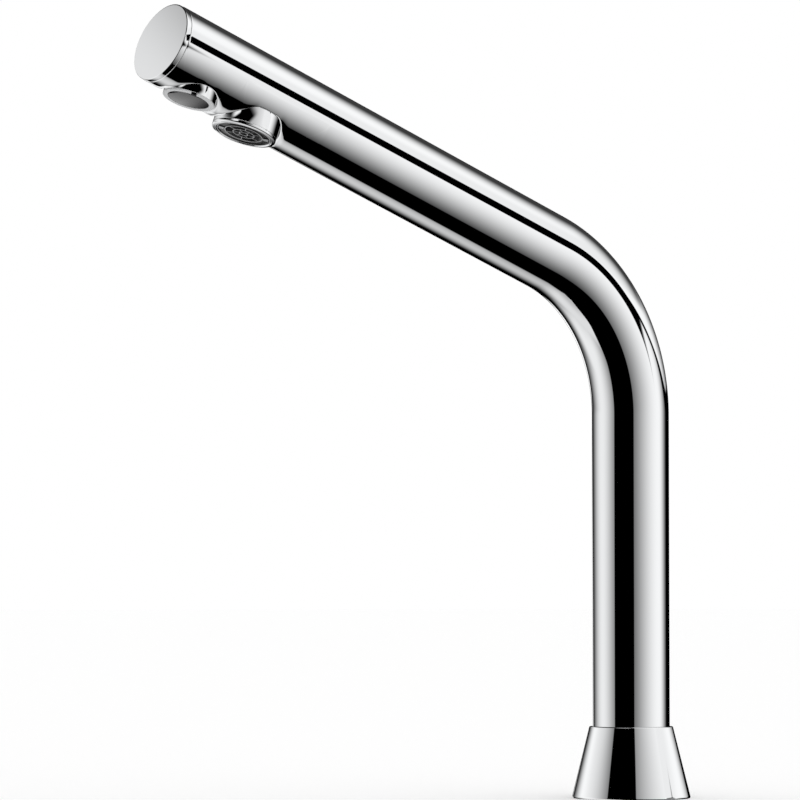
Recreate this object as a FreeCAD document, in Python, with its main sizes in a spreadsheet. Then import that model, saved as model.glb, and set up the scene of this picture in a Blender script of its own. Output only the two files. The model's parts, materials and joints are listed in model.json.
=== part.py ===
"""A sensor basin tap: a bent chrome tube on a cone collar, with a sensor and an outlet under its spout.

Lengths are millimetres and angles are degrees. +Z is up, the spout reaches towards -Y, and the
origin is the centre of the foot, on the deck. Pieces of the spout are drawn in a frame of their
own, whose Z is square to the spout and whose origin lies on the spout's centre line.
"""
import FreeCAD, Part
import math
import os

import Sketcher

# The bent tube
SIZES = {
    "tube_diameter": 32.0,
    "tube_wall": 1.5,
    "bend_radius": 70.5,
    "column_height": 158.5,
    "spout_angle": 20.0,
    "spout_length": 206.3,
    # The disc that closes the spout
    "cap_step": 0.15,
    "cap_face_depth": 2.3,
    "cap_edge_rounding": 0.35,
    "cap_spigot_depth": 4.4,
    "cap_spigot_gap": 0.1,
    "cap_hollow_wall": 1.6,
    "cap_seal_section": 1.2,
    "cap_seal_offset": 2.0,
    # The cone collar and its seal
    "collar_foot_flare": 8.55,
    "collar_top_flare": 1.3,
    "collar_height": 29.6,
    "collar_edge_rounding": 0.7,
    "collar_foot_bevel": 0.4,
    "collar_gap": 0.15,
    "collar_seal_height": 20.0,
    "collar_seal_section": 1.6,
    "seal_gap": 0.05,
    # The foot block inside the column
    "flange_width": 5.0,
    "flange_height": 5.0,
    "flange_gap": 0.3,
    "foot_height": 26.0,
    "spigot_gap": 0.1,
    "gasket_offset": 1.5,
    "gasket_width": 2.6,
    "gasket_height": 1.8,
    "gasket_gap": 0.1,
    "stud_spacing": 20.0,
    "stud_core_diameter": 5.0,
    "stud_hole_depth": 15.0,
    "grub_diameter": 4.0,
    "grub_length": 4.6,
    "grub_inset": 0.2,
    "grub_height": 21.0,
    "grub_socket_width": 2.0,
    "grub_socket_depth": 2.0,
    "grub_count": 3.0,
    # The inlet and its strainer
    "valve_offset": 3.4,
    "inlet_core_diameter": 8.92,
    "inlet_depth": 10.0,
    "strainer_flange_diameter": 7.8,
    "strainer_flange_height": 1.0,
    "strainer_gap": 0.1,
    "strainer_basket_diameter": 6.2,
    "strainer_basket_height": 5.5,
    "strainer_wall": 0.4,
    "strainer_slot_width": 0.8,
    "strainer_slot_count": 10.0,
    "inlet_passage_diameter": 6.8,
    # The cables and their gland
    "cable_inset": 4.1,
    "cable_spread": 3.3,
    "cable_diameter": 2.6,
    "cable_gap": 0.05,
    "gland_diameter": 6.2,
    "gland_height": 8.0,
    "gland_gap": 0.1,
    # The valve in the column
    "core_spigot_diameter": 12.8,
    "core_spigot_depth": 8.0,
    "core_spigot_gap": 0.1,
    "core_seal_section": 1.4,
    "core_seal_height": 4.0,
    "core_flange_height": 3.0,
    "core_length": 15.0,
    "core_passage_diameter": 3.2,
    "check_chamber_diameter": 7.4,
    "check_chamber_depth": 12.0,
    "check_gap": 0.05,
    "check_seat_height": 2.4,
    "check_port_diameter": 4.0,
    "check_head_diameter": 5.6,
    "check_head_height": 1.6,
    "check_stem_diameter": 1.8,
    "check_stem_gap": 0.06,
    "check_stem_length": 5.6,
    "check_guide_height": 2.0,
    "check_guide_level": 8.4,
    "check_port_count": 3.0,
    "check_guide_port_diameter": 1.5,
    "check_guide_port_circle": 4.8,
    "check_spring_diameter": 3.0,
    "check_spring_wire": 0.4,
    "check_spring_turns": 4.0,
    "guide_bore_diameter": 9.0,
    "guide_wall": 0.5,
    "guide_proud": 9.0,
    "guide_gap": 0.03,
    "plunger_gap": 0.08,
    "seat_height": 3.5,
    "plunger_lift": 1.5,
    "plunger_flute_diameter": 1.8,
    "plunger_flute_count": 4.0,
    "plunger_pocket_depth": 6.0,
    "plunger_seal_diameter": 5.1,
    "plunger_seal_height": 2.0,
    "plunger_seal_proud": 0.5,
    "plunger_seal_gap": 0.05,
    "plunger_spring_diameter": 4.4,
    "plunger_spring_wire": 0.5,
    "plunger_spring_turns": 5.0,
    "spring_pocket_gap": 0.45,
    "spring_pocket_depth": 2.5,
    "frame_room": 0.5,
    "frame_wall": 0.8,
    "frame_end": 1.4,
    "frame_bore_gap": 0.15,
    "window_gap": 0.3,
    "bobbin_length": 31.2,
    "bobbin_gap": 0.1,
    "bobbin_wall": 1.1,
    "bobbin_flange": 1.2,
    "winding_gap": 0.3,
    "winding_inner_gap": 0.05,
    "terminal_width": 3.0,
    "terminal_height": 8.0,
    "terminal_drop": 1.6,
    "head_step": 1.1,
    "head_height": 17.0,
    "head_gap": 0.05,
    "head_bore_diameter": 3.0,
    "nozzle_diameter": 4.8,
    "head_seal_section": 1.2,
    "head_seal_height": 5.3,
    "barb_diameter": 5.9,
    "barb_length": 11.0,
    "barb_groove": 0.4,
    "barb_pitch": 2.4,
    # The water tube
    "water_tube_diameter": 8.0,
    "water_tube_bore": 6.0,
    "water_tube_seat_gap": 0.5,
    "water_tube_lift_start": 120.0,
    "water_tube_lift_end": 92.0,
    "clamp_wall": 0.6,
    "clamp_width": 5.0,
    "clamp_gap": 0.05,
    "clamp_inset": 3.0,
    # The outlet
    "outlet_station": 48.5,
    "outlet_diameter": 25.6,
    "outlet_proud": 1.3,
    "outlet_bevel": 0.45,
    "outlet_line_height": 1.25,
    "outlet_line_width": 0.25,
    "outlet_line_depth": 0.2,
    "outlet_floor_depth": 7.0,
    "recess_gap": 0.9,
    "recess_lip_radius": 3.5,
    "recess_lip_overrun": 1.0,
    "recess_overrun": 6.0,
    "outlet_neck_diameter": 20.0,
    "outlet_neck_gap": 0.2,
    "outlet_neck_depth": 12.5,
    "outlet_neck_bore": 17.0,
    "outlet_mouth_diameter": 22.5,
    "outlet_mouth_bevel": 0.6,
    "aerator_bore_diameter": 21.8,
    "aerator_bore_depth": 6.8,
    "outlet_washer_height": 1.0,
    "outlet_washer_gap": 0.1,
    "block_diameter": 22.4,
    "block_top": 5.5,
    "block_chamber_diameter": 14.0,
    "block_chamber_top": 3.0,
    "nipple_level": 0.5,
    "nipple_bore_diameter": 3.8,
    "nipple_inset": 1.0,
    "block_socket_gap": 0.05,
    # The aerator
    "aerator_washer_height": 1.0,
    "aerator_washer_bore": 17.4,
    "aerator_gap": 0.1,
    "aerator_inset": 0.5,
    "aerator_ring_width": 0.9,
    "aerator_step": 1.1,
    "aerator_shelf_bore": 15.8,
    "aerator_shelf_height": 1.0,
    "lug_width": 3.0,
    "lug_depth": 1.2,
    "lug_count": 2.0,
    "insert_inset": 0.3,
    "insert_height": 1.4,
    "insert_ring_width": 0.55,
    "insert_ring_pitch": 1.75,
    "insert_ring_count": 4.0,
    "insert_spoke_width": 0.45,
    "insert_spoke_count": 9.0,
    "insert_hub_diameter": 2.0,
    "regulator_height": 2.0,
    "regulator_diameter": 17.0,
    "regulator_port_diameter": 1.6,
    "regulator_port_circle": 10.4,
    "regulator_port_count": 8.0,
    "screen_flange_height": 0.6,
    "screen_wall": 0.5,
    "screen_top_diameter": 9.0,
    "screen_height": 3.4,
    "screen_slot_width": 0.8,
    "screen_slot_count": 12.0,
    # The sensor
    "sensor_station": 19.8,
    "sensor_diameter": 20.5,
    "sensor_inset": 0.2,
    "sensor_floor_depth": 5.0,
    "sensor_neck_diameter": 16.4,
    "sensor_neck_gap": 0.2,
    "sensor_neck_depth": 10.5,
    "sensor_bore_diameter": 14.0,
    "sensor_ring_height": 0.6,
    "sensor_ring_skirt": 0.6,
    "sensor_ring_skirt_height": 1.0,
    "sensor_notch_width": 1.7,
    "sensor_notch_turn": 36.0,
    "lens_diameter": 16.2,
    "lens_inset": 0.15,
    "lens_gap": 0.2,
    "lens_seat_depth": 1.6,
    "lens_seal_height": 0.5,
    "lens_seal_gap": 0.1,
    "sensor_housing_gap": 0.1,
    "sensor_housing_wall": 0.9,
    "sensor_housing_height": 14.8,
    "sensor_housing_roof": 1.2,
    "board_depth": 9.0,
    "board_thickness": 1.0,
    "board_gap": 0.1,
    "eye_diameter": 3.0,
    "eye_body_height": 3.0,
    "eye_spacing": 5.4,
    "eye_base_diameter": 3.8,
    "eye_base_height": 0.8,
    "sensor_nut_diameter": 20.8,
    "sensor_nut_height": 3.0,
    "sensor_nut_gap": 0.05,
    "cable_drop": 6.0,
}


class Length:
    """A size that knows both its number and the formula that binds it to the sheet."""

    def __init__(self, number, formula):
        self.number = float(number)
        self.formula = formula

    @staticmethod
    def of(value):
        return value if isinstance(value, Length) else Length(value, repr(float(value)))

    def joined(self, other, sign, number):
        return Length(number, f"({self.formula} {sign} {Length.of(other).formula})")

    def __add__(self, other):
        return self.joined(other, "+", self.number + Length.of(other).number)

    def __sub__(self, other):
        return self.joined(other, "-", self.number - Length.of(other).number)

    def __mul__(self, other):
        return self.joined(other, "*", self.number * Length.of(other).number)

    def __truediv__(self, other):
        return self.joined(other, "/", self.number / Length.of(other).number)

    def __neg__(self):
        return Length(-self.number, f"(-{self.formula})")

    def __radd__(self, other):
        return Length.of(other) + self

    def __rsub__(self, other):
        return Length.of(other) - self

    def __rmul__(self, other):
        return Length.of(other) * self


def sine(angle):
    return Length(math.sin(math.radians(angle.number)), f"sin({angle.formula})")


def cosine(angle):
    return Length(math.cos(math.radians(angle.number)), f"cos({angle.formula})")


def tangent(angle):
    return Length(math.tan(math.radians(angle.number)), f"tan({angle.formula})")


class Sizes:
    """The sheet's cells as lengths, reached by their names."""

    def __init__(self, table):
        for name, number in table.items():
            setattr(self, name, Length(number, f"sizes.{name}"))


ZERO = Length(0.0, "0")
QUARTER_TURN = 90.0
FULL_TURN = 360.0

doc = FreeCAD.newDocument("basin_tap")
sheet = doc.addObject("Spreadsheet::Sheet", "sizes")
for row, (name, number) in enumerate(SIZES.items(), start=1):
    sheet.set(f"A{row}", name)
    sheet.set(f"B{row}", str(number))
    sheet.setAlias(f"B{row}", name)
doc.recompute()

s = Sizes(SIZES)
nodes = []

# Places that several pieces share
tube_radius = s.tube_diameter / 2
bore_radius = tube_radius - s.tube_wall
bend_end_y = -(s.bend_radius * (1 - sine(s.spout_angle)))
bend_end_z = s.column_height + s.bend_radius * cosine(s.spout_angle)
cap_radius = tube_radius - s.cap_step
cap_spigot_radius = bore_radius - s.cap_spigot_gap
flange_radius = tube_radius + s.flange_width
cable_offset = bore_radius - s.cable_inset
frame_radius = bore_radius - s.valve_offset - s.frame_room
valve_seat_level = s.foot_height - s.core_spigot_depth
valve_base = s.foot_height + s.core_flange_height
bobbin_base = valve_base + s.frame_end
frame_top = bobbin_base + s.bobbin_length + s.frame_end
head_top = frame_top + s.head_height
seat_level = frame_top + s.seat_height
plunger_base = valve_base + s.core_length + s.plunger_lift
plunger_length = seat_level - s.plunger_seal_proud - plunger_base
plunger_radius = s.guide_bore_diameter / 2 - s.plunger_gap
guide_length = frame_top + s.guide_proud - valve_base
guide_outer_radius = s.guide_bore_diameter / 2 + s.guide_wall
frame_bore_radius = guide_outer_radius + s.frame_bore_gap
outlet_radius = s.outlet_diameter / 2
outlet_reach = tube_radius + s.outlet_proud
outlet_floor = tube_radius - s.outlet_floor_depth
outlet_neck_top = tube_radius - s.outlet_neck_depth
block_floor = outlet_floor - s.tube_wall
aerator_ledge = outlet_reach - s.aerator_bore_depth
aerator_radius = s.aerator_bore_diameter / 2 - s.aerator_gap
aerator_top = aerator_ledge + s.aerator_washer_height
sensor_radius = s.sensor_diameter / 2
sensor_reach = tube_radius - s.sensor_inset
sensor_floor = tube_radius - s.sensor_floor_depth
sensor_neck_top = tube_radius - s.sensor_neck_depth
sensor_inner_floor = sensor_floor - s.tube_wall
sensor_housing_top = sensor_reach - s.sensor_housing_height
board_level = sensor_reach - s.board_depth


def spout_point(station, rise):
    """The Y and Z of a point at a distance behind the spout's face and a height square to the spout."""
    along = s.spout_length - station
    y = bend_end_y - along * cosine(s.spout_angle) + rise * sine(s.spout_angle)
    z = bend_end_z + along * sine(s.spout_angle) + rise * cosine(s.spout_angle)
    return y, z


def bind(thing, values):
    """Ties properties of an object to the sheet."""
    for path, value in values.items():
        thing.setExpression(path, Length.of(value).formula)


def part(thing):
    """Keeps an object as a piece of its own, to be written out under its label."""
    nodes.append(thing)
    return thing


def stand(thing, x=ZERO, y=ZERO, z=ZERO):
    """Places a piece upright."""
    bind(thing, {"Placement.Base.x": x, "Placement.Base.y": y, "Placement.Base.z": z})
    return thing


def stand_on_valve(thing, z=ZERO):
    """Places a piece upright on the valve's axis."""
    return stand(thing, ZERO, -s.valve_offset, z)


def hang(thing, station, rise=ZERO):
    """Places a piece in the spout's frame: tilted with the spout, its origin on the centre line."""
    y, z = spout_point(Length.of(station), Length.of(rise))
    thing.Placement = FreeCAD.Placement(
        FreeCAD.Vector(0, y.number, z.number), FreeCAD.Rotation(FreeCAD.Vector(-1, 0, 0), 1)
    )
    bind(thing, {"Placement.Base.y": y, "Placement.Base.z": z, "Placement.Rotation.Angle": s.spout_angle})
    return thing


def hang_facing(thing, station, rise=ZERO):
    """Places a piece whose Z runs along the spout, from its face towards the bend."""
    y, z = spout_point(Length.of(station), Length.of(rise))
    thing.Placement = FreeCAD.Placement(
        FreeCAD.Vector(0, y.number, z.number), FreeCAD.Rotation(FreeCAD.Vector(-1, 0, 0), QUARTER_TURN)
    )
    turn = QUARTER_TURN + s.spout_angle
    bind(thing, {"Placement.Base.y": y, "Placement.Base.z": z, "Placement.Rotation.Angle": turn})
    return thing


def new_body(label):
    body = doc.addObject("PartDesign::Body", label)
    body.Label = label
    return body


def new_sketch(body, name, role, level=ZERO):
    """A sketch on one of the body's own planes, moved along the plane's normal by a level."""
    sketch = body.newObject("Sketcher::SketchObject", f"{body.Name}_{name}")
    plane = [feature for feature in body.Origin.OriginFeatures if feature.Role == role][0]
    sketch.AttachmentSupport = (plane, "")
    sketch.MapMode = "FlatFace"
    if level is not ZERO:
        sketch.setExpression("AttachmentOffset.Base.z", Length.of(level).formula)
    return sketch


def tie_point(sketch, curve, end, x, y):
    """Ties one end of a sketch's curve to lengths measured from the origin."""
    for kind, value in (("DistanceX", x), ("DistanceY", y)):
        value = Length.of(value)
        index = sketch.addConstraint(Sketcher.Constraint(kind, -1, 1, curve, end, value.number))
        sketch.setExpression(f"Constraints[{index}]", value.formula)


def tie_radius(sketch, curve, radius):
    index = sketch.addConstraint(Sketcher.Constraint("Radius", curve, Length.of(radius).number))
    sketch.setExpression(f"Constraints[{index}]", Length.of(radius).formula)


def arc_between(start, end, radius, leftward):
    """A sketch arc from start to end, with its centre to the left or right of the way."""
    chord = end - start
    half = chord.Length / 2
    reach = math.sqrt(max(radius * radius - half * half, 0.0))
    side = FreeCAD.Vector(-chord.y, chord.x, 0).normalize() * (reach if leftward else -reach)
    centre = (start + end) / 2 + side
    angles = [math.atan2(point.y - centre.y, point.x - centre.x) for point in (start, end)]
    if not leftward:
        angles.reverse()
    return Part.ArcOfCircle(Part.Circle(centre, FreeCAD.Vector(0, 0, 1), radius), *angles)


def draw_outline(sketch, outline):
    """A closed outline of points; a point with a third value starts an arc of that radius.

    A positive radius puts the arc's centre on the left of the way round, a negative one on the right.
    """
    count = len(outline)
    points = [FreeCAD.Vector(Length.of(p[0]).number, Length.of(p[1]).number, 0) for p in outline]
    starts = []
    for index in range(count):
        start, end = points[index], points[(index + 1) % count]
        if len(outline[index]) == 3:
            radius = Length.of(outline[index][2])
            leftward = radius.number > 0
            sketch.addGeometry(arc_between(start, end, abs(radius.number), leftward), False)
            starts.append(1 if leftward else 2)
        else:
            sketch.addGeometry(Part.LineSegment(start, end), False)
            starts.append(1)
    for index in range(count):
        after = (index + 1) % count
        sketch.addConstraint(
            Sketcher.Constraint("Coincident", index, 3 - starts[index], after, starts[after])
        )
        tie_point(sketch, index, starts[index], outline[index][0], outline[index][1])
        if len(outline[index]) == 3:
            radius = Length.of(outline[index][2])
            tie_radius(sketch, index, radius if radius.number > 0 else -radius)


def turned(label, outline):
    """A body turned about Z from an outline of radius and height."""
    body = new_body(label)
    sketch = new_sketch(body, "outline", "XZ_Plane")
    draw_outline(sketch, outline)
    revolution = body.newObject("PartDesign::Revolution", f"{label}_turning")
    revolution.Profile = sketch
    revolution.ReferenceAxis = (sketch, ["V_Axis"])
    revolution.Angle = FULL_TURN
    return body


def ring(label, inner, outer, low, high):
    """A plain turned ring or disc between two radii and two heights."""
    return turned(label, [(inner, low), (outer, low), (outer, high), (inner, high)])


def round_edges(body, rounding, chosen):
    """Rounds the circular edges of a body whose radius and height are among the chosen ones."""
    doc.recompute()
    base = body.Tip
    names = []
    for index, edge in enumerate(base.Shape.Edges, start=1):
        curve = edge.Curve
        if not isinstance(curve, Part.Circle):
            continue
        for radius, height in chosen:
            same_radius = abs(curve.Radius - Length.of(radius).number) < 1e-4
            if same_radius and abs(curve.Center.z - Length.of(height).number) < 1e-4:
                names.append(f"Edge{index}")
    fillet = body.newObject("PartDesign::Fillet", f"{body.Name}_rounding")
    fillet.Base = (base, names)
    fillet.setExpression("Radius", rounding.formula)
    return body


def draw_circle(sketch, x, y, radius):
    """A full circle tied to its centre and radius."""
    x, y, radius = Length.of(x), Length.of(y), Length.of(radius)
    centre = FreeCAD.Vector(x.number, y.number, 0)
    curve = sketch.addGeometry(Part.Circle(centre, FreeCAD.Vector(0, 0, 1), radius.number), False)
    tie_point(sketch, curve, 3, x, y)
    tie_radius(sketch, curve, radius)


def draw_box(sketch, left, low, right, high):
    draw_outline(sketch, [(left, low), (right, low), (right, high), (left, high)])


def pocket(body, name, top, depth, draw):
    """Cuts a drawn shape straight down from a height in the body's frame."""
    sketch = new_sketch(body, name, "XY_Plane", top)
    draw(sketch)
    cut = body.newObject("PartDesign::Pocket", f"{body.Name}_{name}_cut")
    cut.Profile = sketch
    cut.setExpression("Length", Length.of(depth).formula)
    return cut


def drill(body, name, top, depth, x, y, radius):
    return pocket(body, name, top, depth, lambda sketch: draw_circle(sketch, x, y, radius))


def repeat_round(body, feature, count):
    """Repeats a feature evenly about the body's Z axis."""
    pattern = body.newObject("PartDesign::PolarPattern", f"{feature.Name}_round")
    pattern.Originals = [feature]
    axis = [line for line in body.Origin.OriginFeatures if line.Role == "Z_Axis"][0]
    pattern.Axis = (axis, [""])
    pattern.Angle = FULL_TURN
    pattern.setExpression("Occurrences", count.formula)
    body.Tip = pattern
    return pattern


def cylinder(label, radius, height):
    """A plain round bar standing on its own origin."""
    bar = doc.addObject("Part::Cylinder", label)
    bind(bar, {"Radius": radius, "Height": height})
    return bar


def torus(label, middle_radius, section):
    """A seal ring of round section, lying flat about its own origin."""
    seal = doc.addObject("Part::Torus", label)
    bind(seal, {"Radius1": middle_radius, "Radius2": Length.of(section) / 2})
    return seal


def cut(label, base, tools):
    """One shape less several others."""
    whole = base
    for index, tool in enumerate(tools, start=1):
        last = index == len(tools)
        step = doc.addObject("Part::Cut", label if last else f"{label}_step_{index}")
        step.Base = whole
        step.Tool = tool
        whole = step
    return whole


def coil_spring(label, middle_diameter, wire, turns, height):
    """A compression spring of round wire whose ends lie on its two seats."""
    rise = Length.of(height) - wire
    helix = doc.addObject("Part::Helix", f"{label}_line")
    bind(helix, {"Radius": middle_diameter / 2, "Height": rise, "Pitch": rise / turns})
    section = doc.addObject("Part::Circle", f"{label}_wire")
    section.Placement.Rotation = FreeCAD.Rotation(FreeCAD.Vector(1, 0, 0), QUARTER_TURN)
    bind(section, {"Radius": wire / 2, "Placement.Base.x": middle_diameter / 2})
    spring = doc.addObject("Part::Sweep", label)
    spring.Sections = [section]
    spring.Spine = (helix, ["Edge1"])
    spring.Solid = True
    spring.Frenet = True
    return spring


def bent_rod(label, radius, base_level, end_station):
    """A round bar along the centre line: up the column, round the bend and out along the spout."""
    body = new_body(label)
    profile = new_sketch(body, "section", "XY_Plane", base_level)
    draw_circle(profile, 0, 0, radius)
    spine = new_sketch(body, "line", "YZ_Plane")
    end_y, end_z = spout_point(Length.of(end_station), ZERO)
    base_z = Length.of(base_level)
    corners = [(ZERO, base_z), (ZERO, s.column_height), (bend_end_y, bend_end_z), (end_y, end_z)]
    points = [FreeCAD.Vector(x.number, y.number, 0) for x, y in corners]
    spine.addGeometry(Part.LineSegment(points[0], points[1]), False)
    spine.addGeometry(arc_between(points[1], points[2], s.bend_radius.number, True), False)
    spine.addGeometry(Part.LineSegment(points[2], points[3]), False)
    for curve in range(3):
        tie_point(spine, curve, 1, *corners[curve])
    tie_point(spine, 2, 2, *corners[3])
    spine.addConstraint(Sketcher.Constraint("Coincident", 0, 2, 1, 1))
    spine.addConstraint(Sketcher.Constraint("Coincident", 1, 2, 2, 1))
    tie_radius(spine, 1, s.bend_radius)
    rod = body.newObject("PartDesign::AdditivePipe", f"{label}_pipe")
    rod.Profile = profile
    rod.Spine = (spine, ["Edge1", "Edge2", "Edge3"])
    return body


def route_wire(points, radii):
    """Straight runs in the middle plane joined by tangent arcs; one radius for each inner point."""
    edges = []
    start = points[0]
    for index, radius in enumerate(radii, start=1):
        corner = points[index]
        before = (points[index - 1] - corner).normalize()
        after = (points[index + 1] - corner).normalize()
        turn = math.pi - before.getAngle(after)
        reach = radius * math.tan(turn / 2)
        first, second = corner + before * reach, corner + after * reach
        middle = corner + (before + after).normalize() * (radius / math.cos(turn / 2) - radius)
        edges.append(Part.LineSegment(start, first).toShape())
        edges.append(Part.Arc(first, middle, second).toShape())
        start = second
        print(f"route radius {radius:.1f} mm, turn {math.degrees(turn):.0f} degrees")
    edges.append(Part.LineSegment(start, points[-1]).toShape())
    return Part.Wire(edges)


def free_radius(points, index):
    """The largest arc that a corner's two runs allow: 0.45 of the shorter run over half the turn's tangent."""
    share_of_run = 0.45
    corner = points[index]
    before, after = points[index - 1] - corner, points[index + 1] - corner
    turn = math.pi - before.getAngle(after)
    return share_of_run * min(before.Length, after.Length) / math.tan(turn / 2)


def routed_tube(label, x, places, bend_corner_radius, radius, bore=None):
    """A tube through points of the middle plane; its second point is the corner of the column's bend."""
    points = [FreeCAD.Vector(x.number, y.number, z.number) for y, z in places]
    radii = [bend_corner_radius.number]
    radii += [free_radius(points, index) for index in range(2, len(points) - 1)]
    wire = route_wire(points, radii)
    direction = points[1] - points[0]
    rings = [radius.number] if bore is None else [radius.number, bore.number]
    solids = []
    for size in rings:
        start = Part.Wire(Part.makeCircle(size, points[0], direction))
        solids.append(wire.makePipeShell([start], True, False))
    shape = solids[0] if bore is None else solids[0].cut(solids[1])
    area = math.pi * (radius.number ** 2 - (bore.number ** 2 if bore else 0))
    print(f"{label}: length {wire.Length:.1f} mm, volume {shape.Volume / (area * wire.Length):.5f} of its run")
    tube = doc.addObject("Part::Feature", label)
    tube.Shape = shape
    return tube


def bend_corner(offset):
    """Where the column's and the spout's lines meet, for a line set off from the centre line."""
    radius = s.bend_radius + offset
    half_turn = (QUARTER_TURN - s.spout_angle) / 2
    return (offset, s.column_height + radius * tangent(half_turn)), radius


def recess_cutter(label, radius, floor, station):
    """The room cut round a barrel: a flat floor, a round wall and a lip rounded outwards."""
    wall_radius = radius + s.recess_gap
    lip_low = tube_radius + s.recess_lip_overrun
    lip_high = lip_low - s.recess_lip_radius
    mouth_radius = wall_radius + s.recess_lip_radius
    bottom = tube_radius + s.recess_overrun
    outline = [
        (0, -floor),
        (wall_radius, -floor),
        (wall_radius, -lip_high, s.recess_lip_radius),
        (mouth_radius, -lip_low),
        (mouth_radius, -bottom),
        (0, -bottom),
    ]
    return hang(turned(label, outline), station)


def recess_backing(label, radius, floor, station):
    """The wall that backs a recess inside the tube, as a solid to keep when the tube is hollowed."""
    height = tube_radius + s.recess_overrun - floor + s.tube_wall
    backing = cylinder(label, radius + s.recess_gap + s.tube_wall, height)
    return hang(backing, station, -(tube_radius + s.recess_overrun))


def neck_hole(label, neck_diameter, gap, floor, station):
    """The hole in a recess's floor that a barrel's neck passes through."""
    hole = cylinder(label, neck_diameter / 2 + gap, s.tube_wall * 3)
    return hang(hole, station, -(floor + s.tube_wall))


def grub_places():
    """The directions of the grub screws about the column, the first towards -Y."""
    count = int(s.grub_count.number)
    return [-QUARTER_TURN + FULL_TURN * index / count for index in range(count)]


def grub_bar(label, angle, start, length):
    """A radial bar at the height of the grub screws, from a radius outwards."""
    bar = cylinder(label, s.grub_diameter / 2, length)
    heading = FreeCAD.Rotation(FreeCAD.Vector(0, 0, 1), angle)
    outward = FreeCAD.Rotation(FreeCAD.Vector(0, 1, 0), QUARTER_TURN)
    bar.Placement = FreeCAD.Placement(FreeCAD.Vector(0, 0, 0), heading * outward)
    across = math.cos(math.radians(angle))
    along = math.sin(math.radians(angle))
    bind(bar, {
        "Placement.Base.x": start * across,
        "Placement.Base.y": start * along,
        "Placement.Base.z": s.grub_height,
    })
    return bar


def make_body_tube():
    """The bent tube, chromed brass: recesses pressed into the spout's underside, holes for the necks."""
    outside = bent_rod("tube_outside", tube_radius, s.flange_height, s.cap_face_depth)
    inside = bent_rod("tube_inside", bore_radius, s.flange_height, s.cap_face_depth)
    barrels = (
        ("outlet", outlet_radius, outlet_floor, s.outlet_station, s.outlet_neck_diameter, s.outlet_neck_gap),
        ("sensor", sensor_radius, sensor_floor, s.sensor_station, s.sensor_neck_diameter, s.sensor_neck_gap),
    )
    recesses, backings, holes = [], [], []
    for name, radius, floor, station, neck_diameter, gap in barrels:
        recesses.append(recess_cutter(f"{name}_recess", radius, floor, station))
        backings.append(recess_backing(f"{name}_backing", radius, floor, station))
        holes.append(neck_hole(f"{name}_neck_hole", neck_diameter, gap, floor, station))
    screw_start = bore_radius - s.tube_wall
    screws = [
        grub_bar(f"tube_screw_hole_{index}", angle, screw_start, s.tube_wall * 4)
        for index, angle in enumerate(grub_places(), start=1)
    ]
    hollow = cut("tube_hollow", inside, backings)
    part(cut("body_tube", outside, recesses + [hollow] + holes + screws))


def make_end_cap():
    """The plain disc that closes the spout, on a hollow spigot with a seal groove."""
    groove_low = s.cap_face_depth + s.cap_seal_offset
    groove_high = groove_low + s.cap_seal_section + 2 * s.seal_gap
    groove_radius = bore_radius - s.cap_seal_section - s.seal_gap
    end = s.cap_face_depth + s.cap_spigot_depth
    hollow_radius = groove_radius - s.cap_hollow_wall
    cap = turned("end_cap", [
        (0, 0),
        (cap_radius, 0),
        (cap_radius, s.cap_face_depth),
        (cap_spigot_radius, s.cap_face_depth),
        (cap_spigot_radius, groove_low),
        (groove_radius, groove_low),
        (groove_radius, groove_high),
        (cap_spigot_radius, groove_high),
        (cap_spigot_radius, end),
        (hollow_radius, end),
        (hollow_radius, s.cap_face_depth),
        (0, s.cap_face_depth),
    ])
    round_edges(cap, s.cap_edge_rounding, [(cap_radius, 0)])
    part(hang_facing(cap, 0))
    seal = torus("end_cap_seal", bore_radius - s.cap_seal_section / 2, s.cap_seal_section - s.seal_gap)
    middle = groove_low + s.seal_gap + s.cap_seal_section / 2
    part(hang_facing(seal, middle))


def make_base_collar():
    """The cone collar that slides down the column and covers the foot, with its seal ring."""
    foot_radius = tube_radius + s.collar_foot_flare
    top_radius = tube_radius + s.collar_top_flare
    bore = tube_radius + s.collar_gap
    room = flange_radius + s.flange_gap
    room_top = s.flange_height + s.flange_gap
    groove = tube_radius + s.collar_seal_section + s.seal_gap
    groove_low = s.collar_seal_height
    groove_high = groove_low + s.collar_seal_section + 2 * s.seal_gap
    collar = turned("base_collar", [
        (room, 0),
        (foot_radius - s.collar_foot_bevel, 0),
        (foot_radius, s.collar_foot_bevel),
        (top_radius, s.collar_height),
        (bore, s.collar_height),
        (bore, groove_high),
        (groove, groove_high),
        (groove, groove_low),
        (bore, groove_low),
        (bore, room_top),
        (room, room_top),
    ])
    part(round_edges(collar, s.collar_edge_rounding, [(top_radius, s.collar_height)]))
    seal = torus("collar_seal", tube_radius + s.collar_seal_section / 2, s.collar_seal_section - s.seal_gap)
    part(stand(seal, z=(groove_low + groove_high) / 2))


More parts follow.
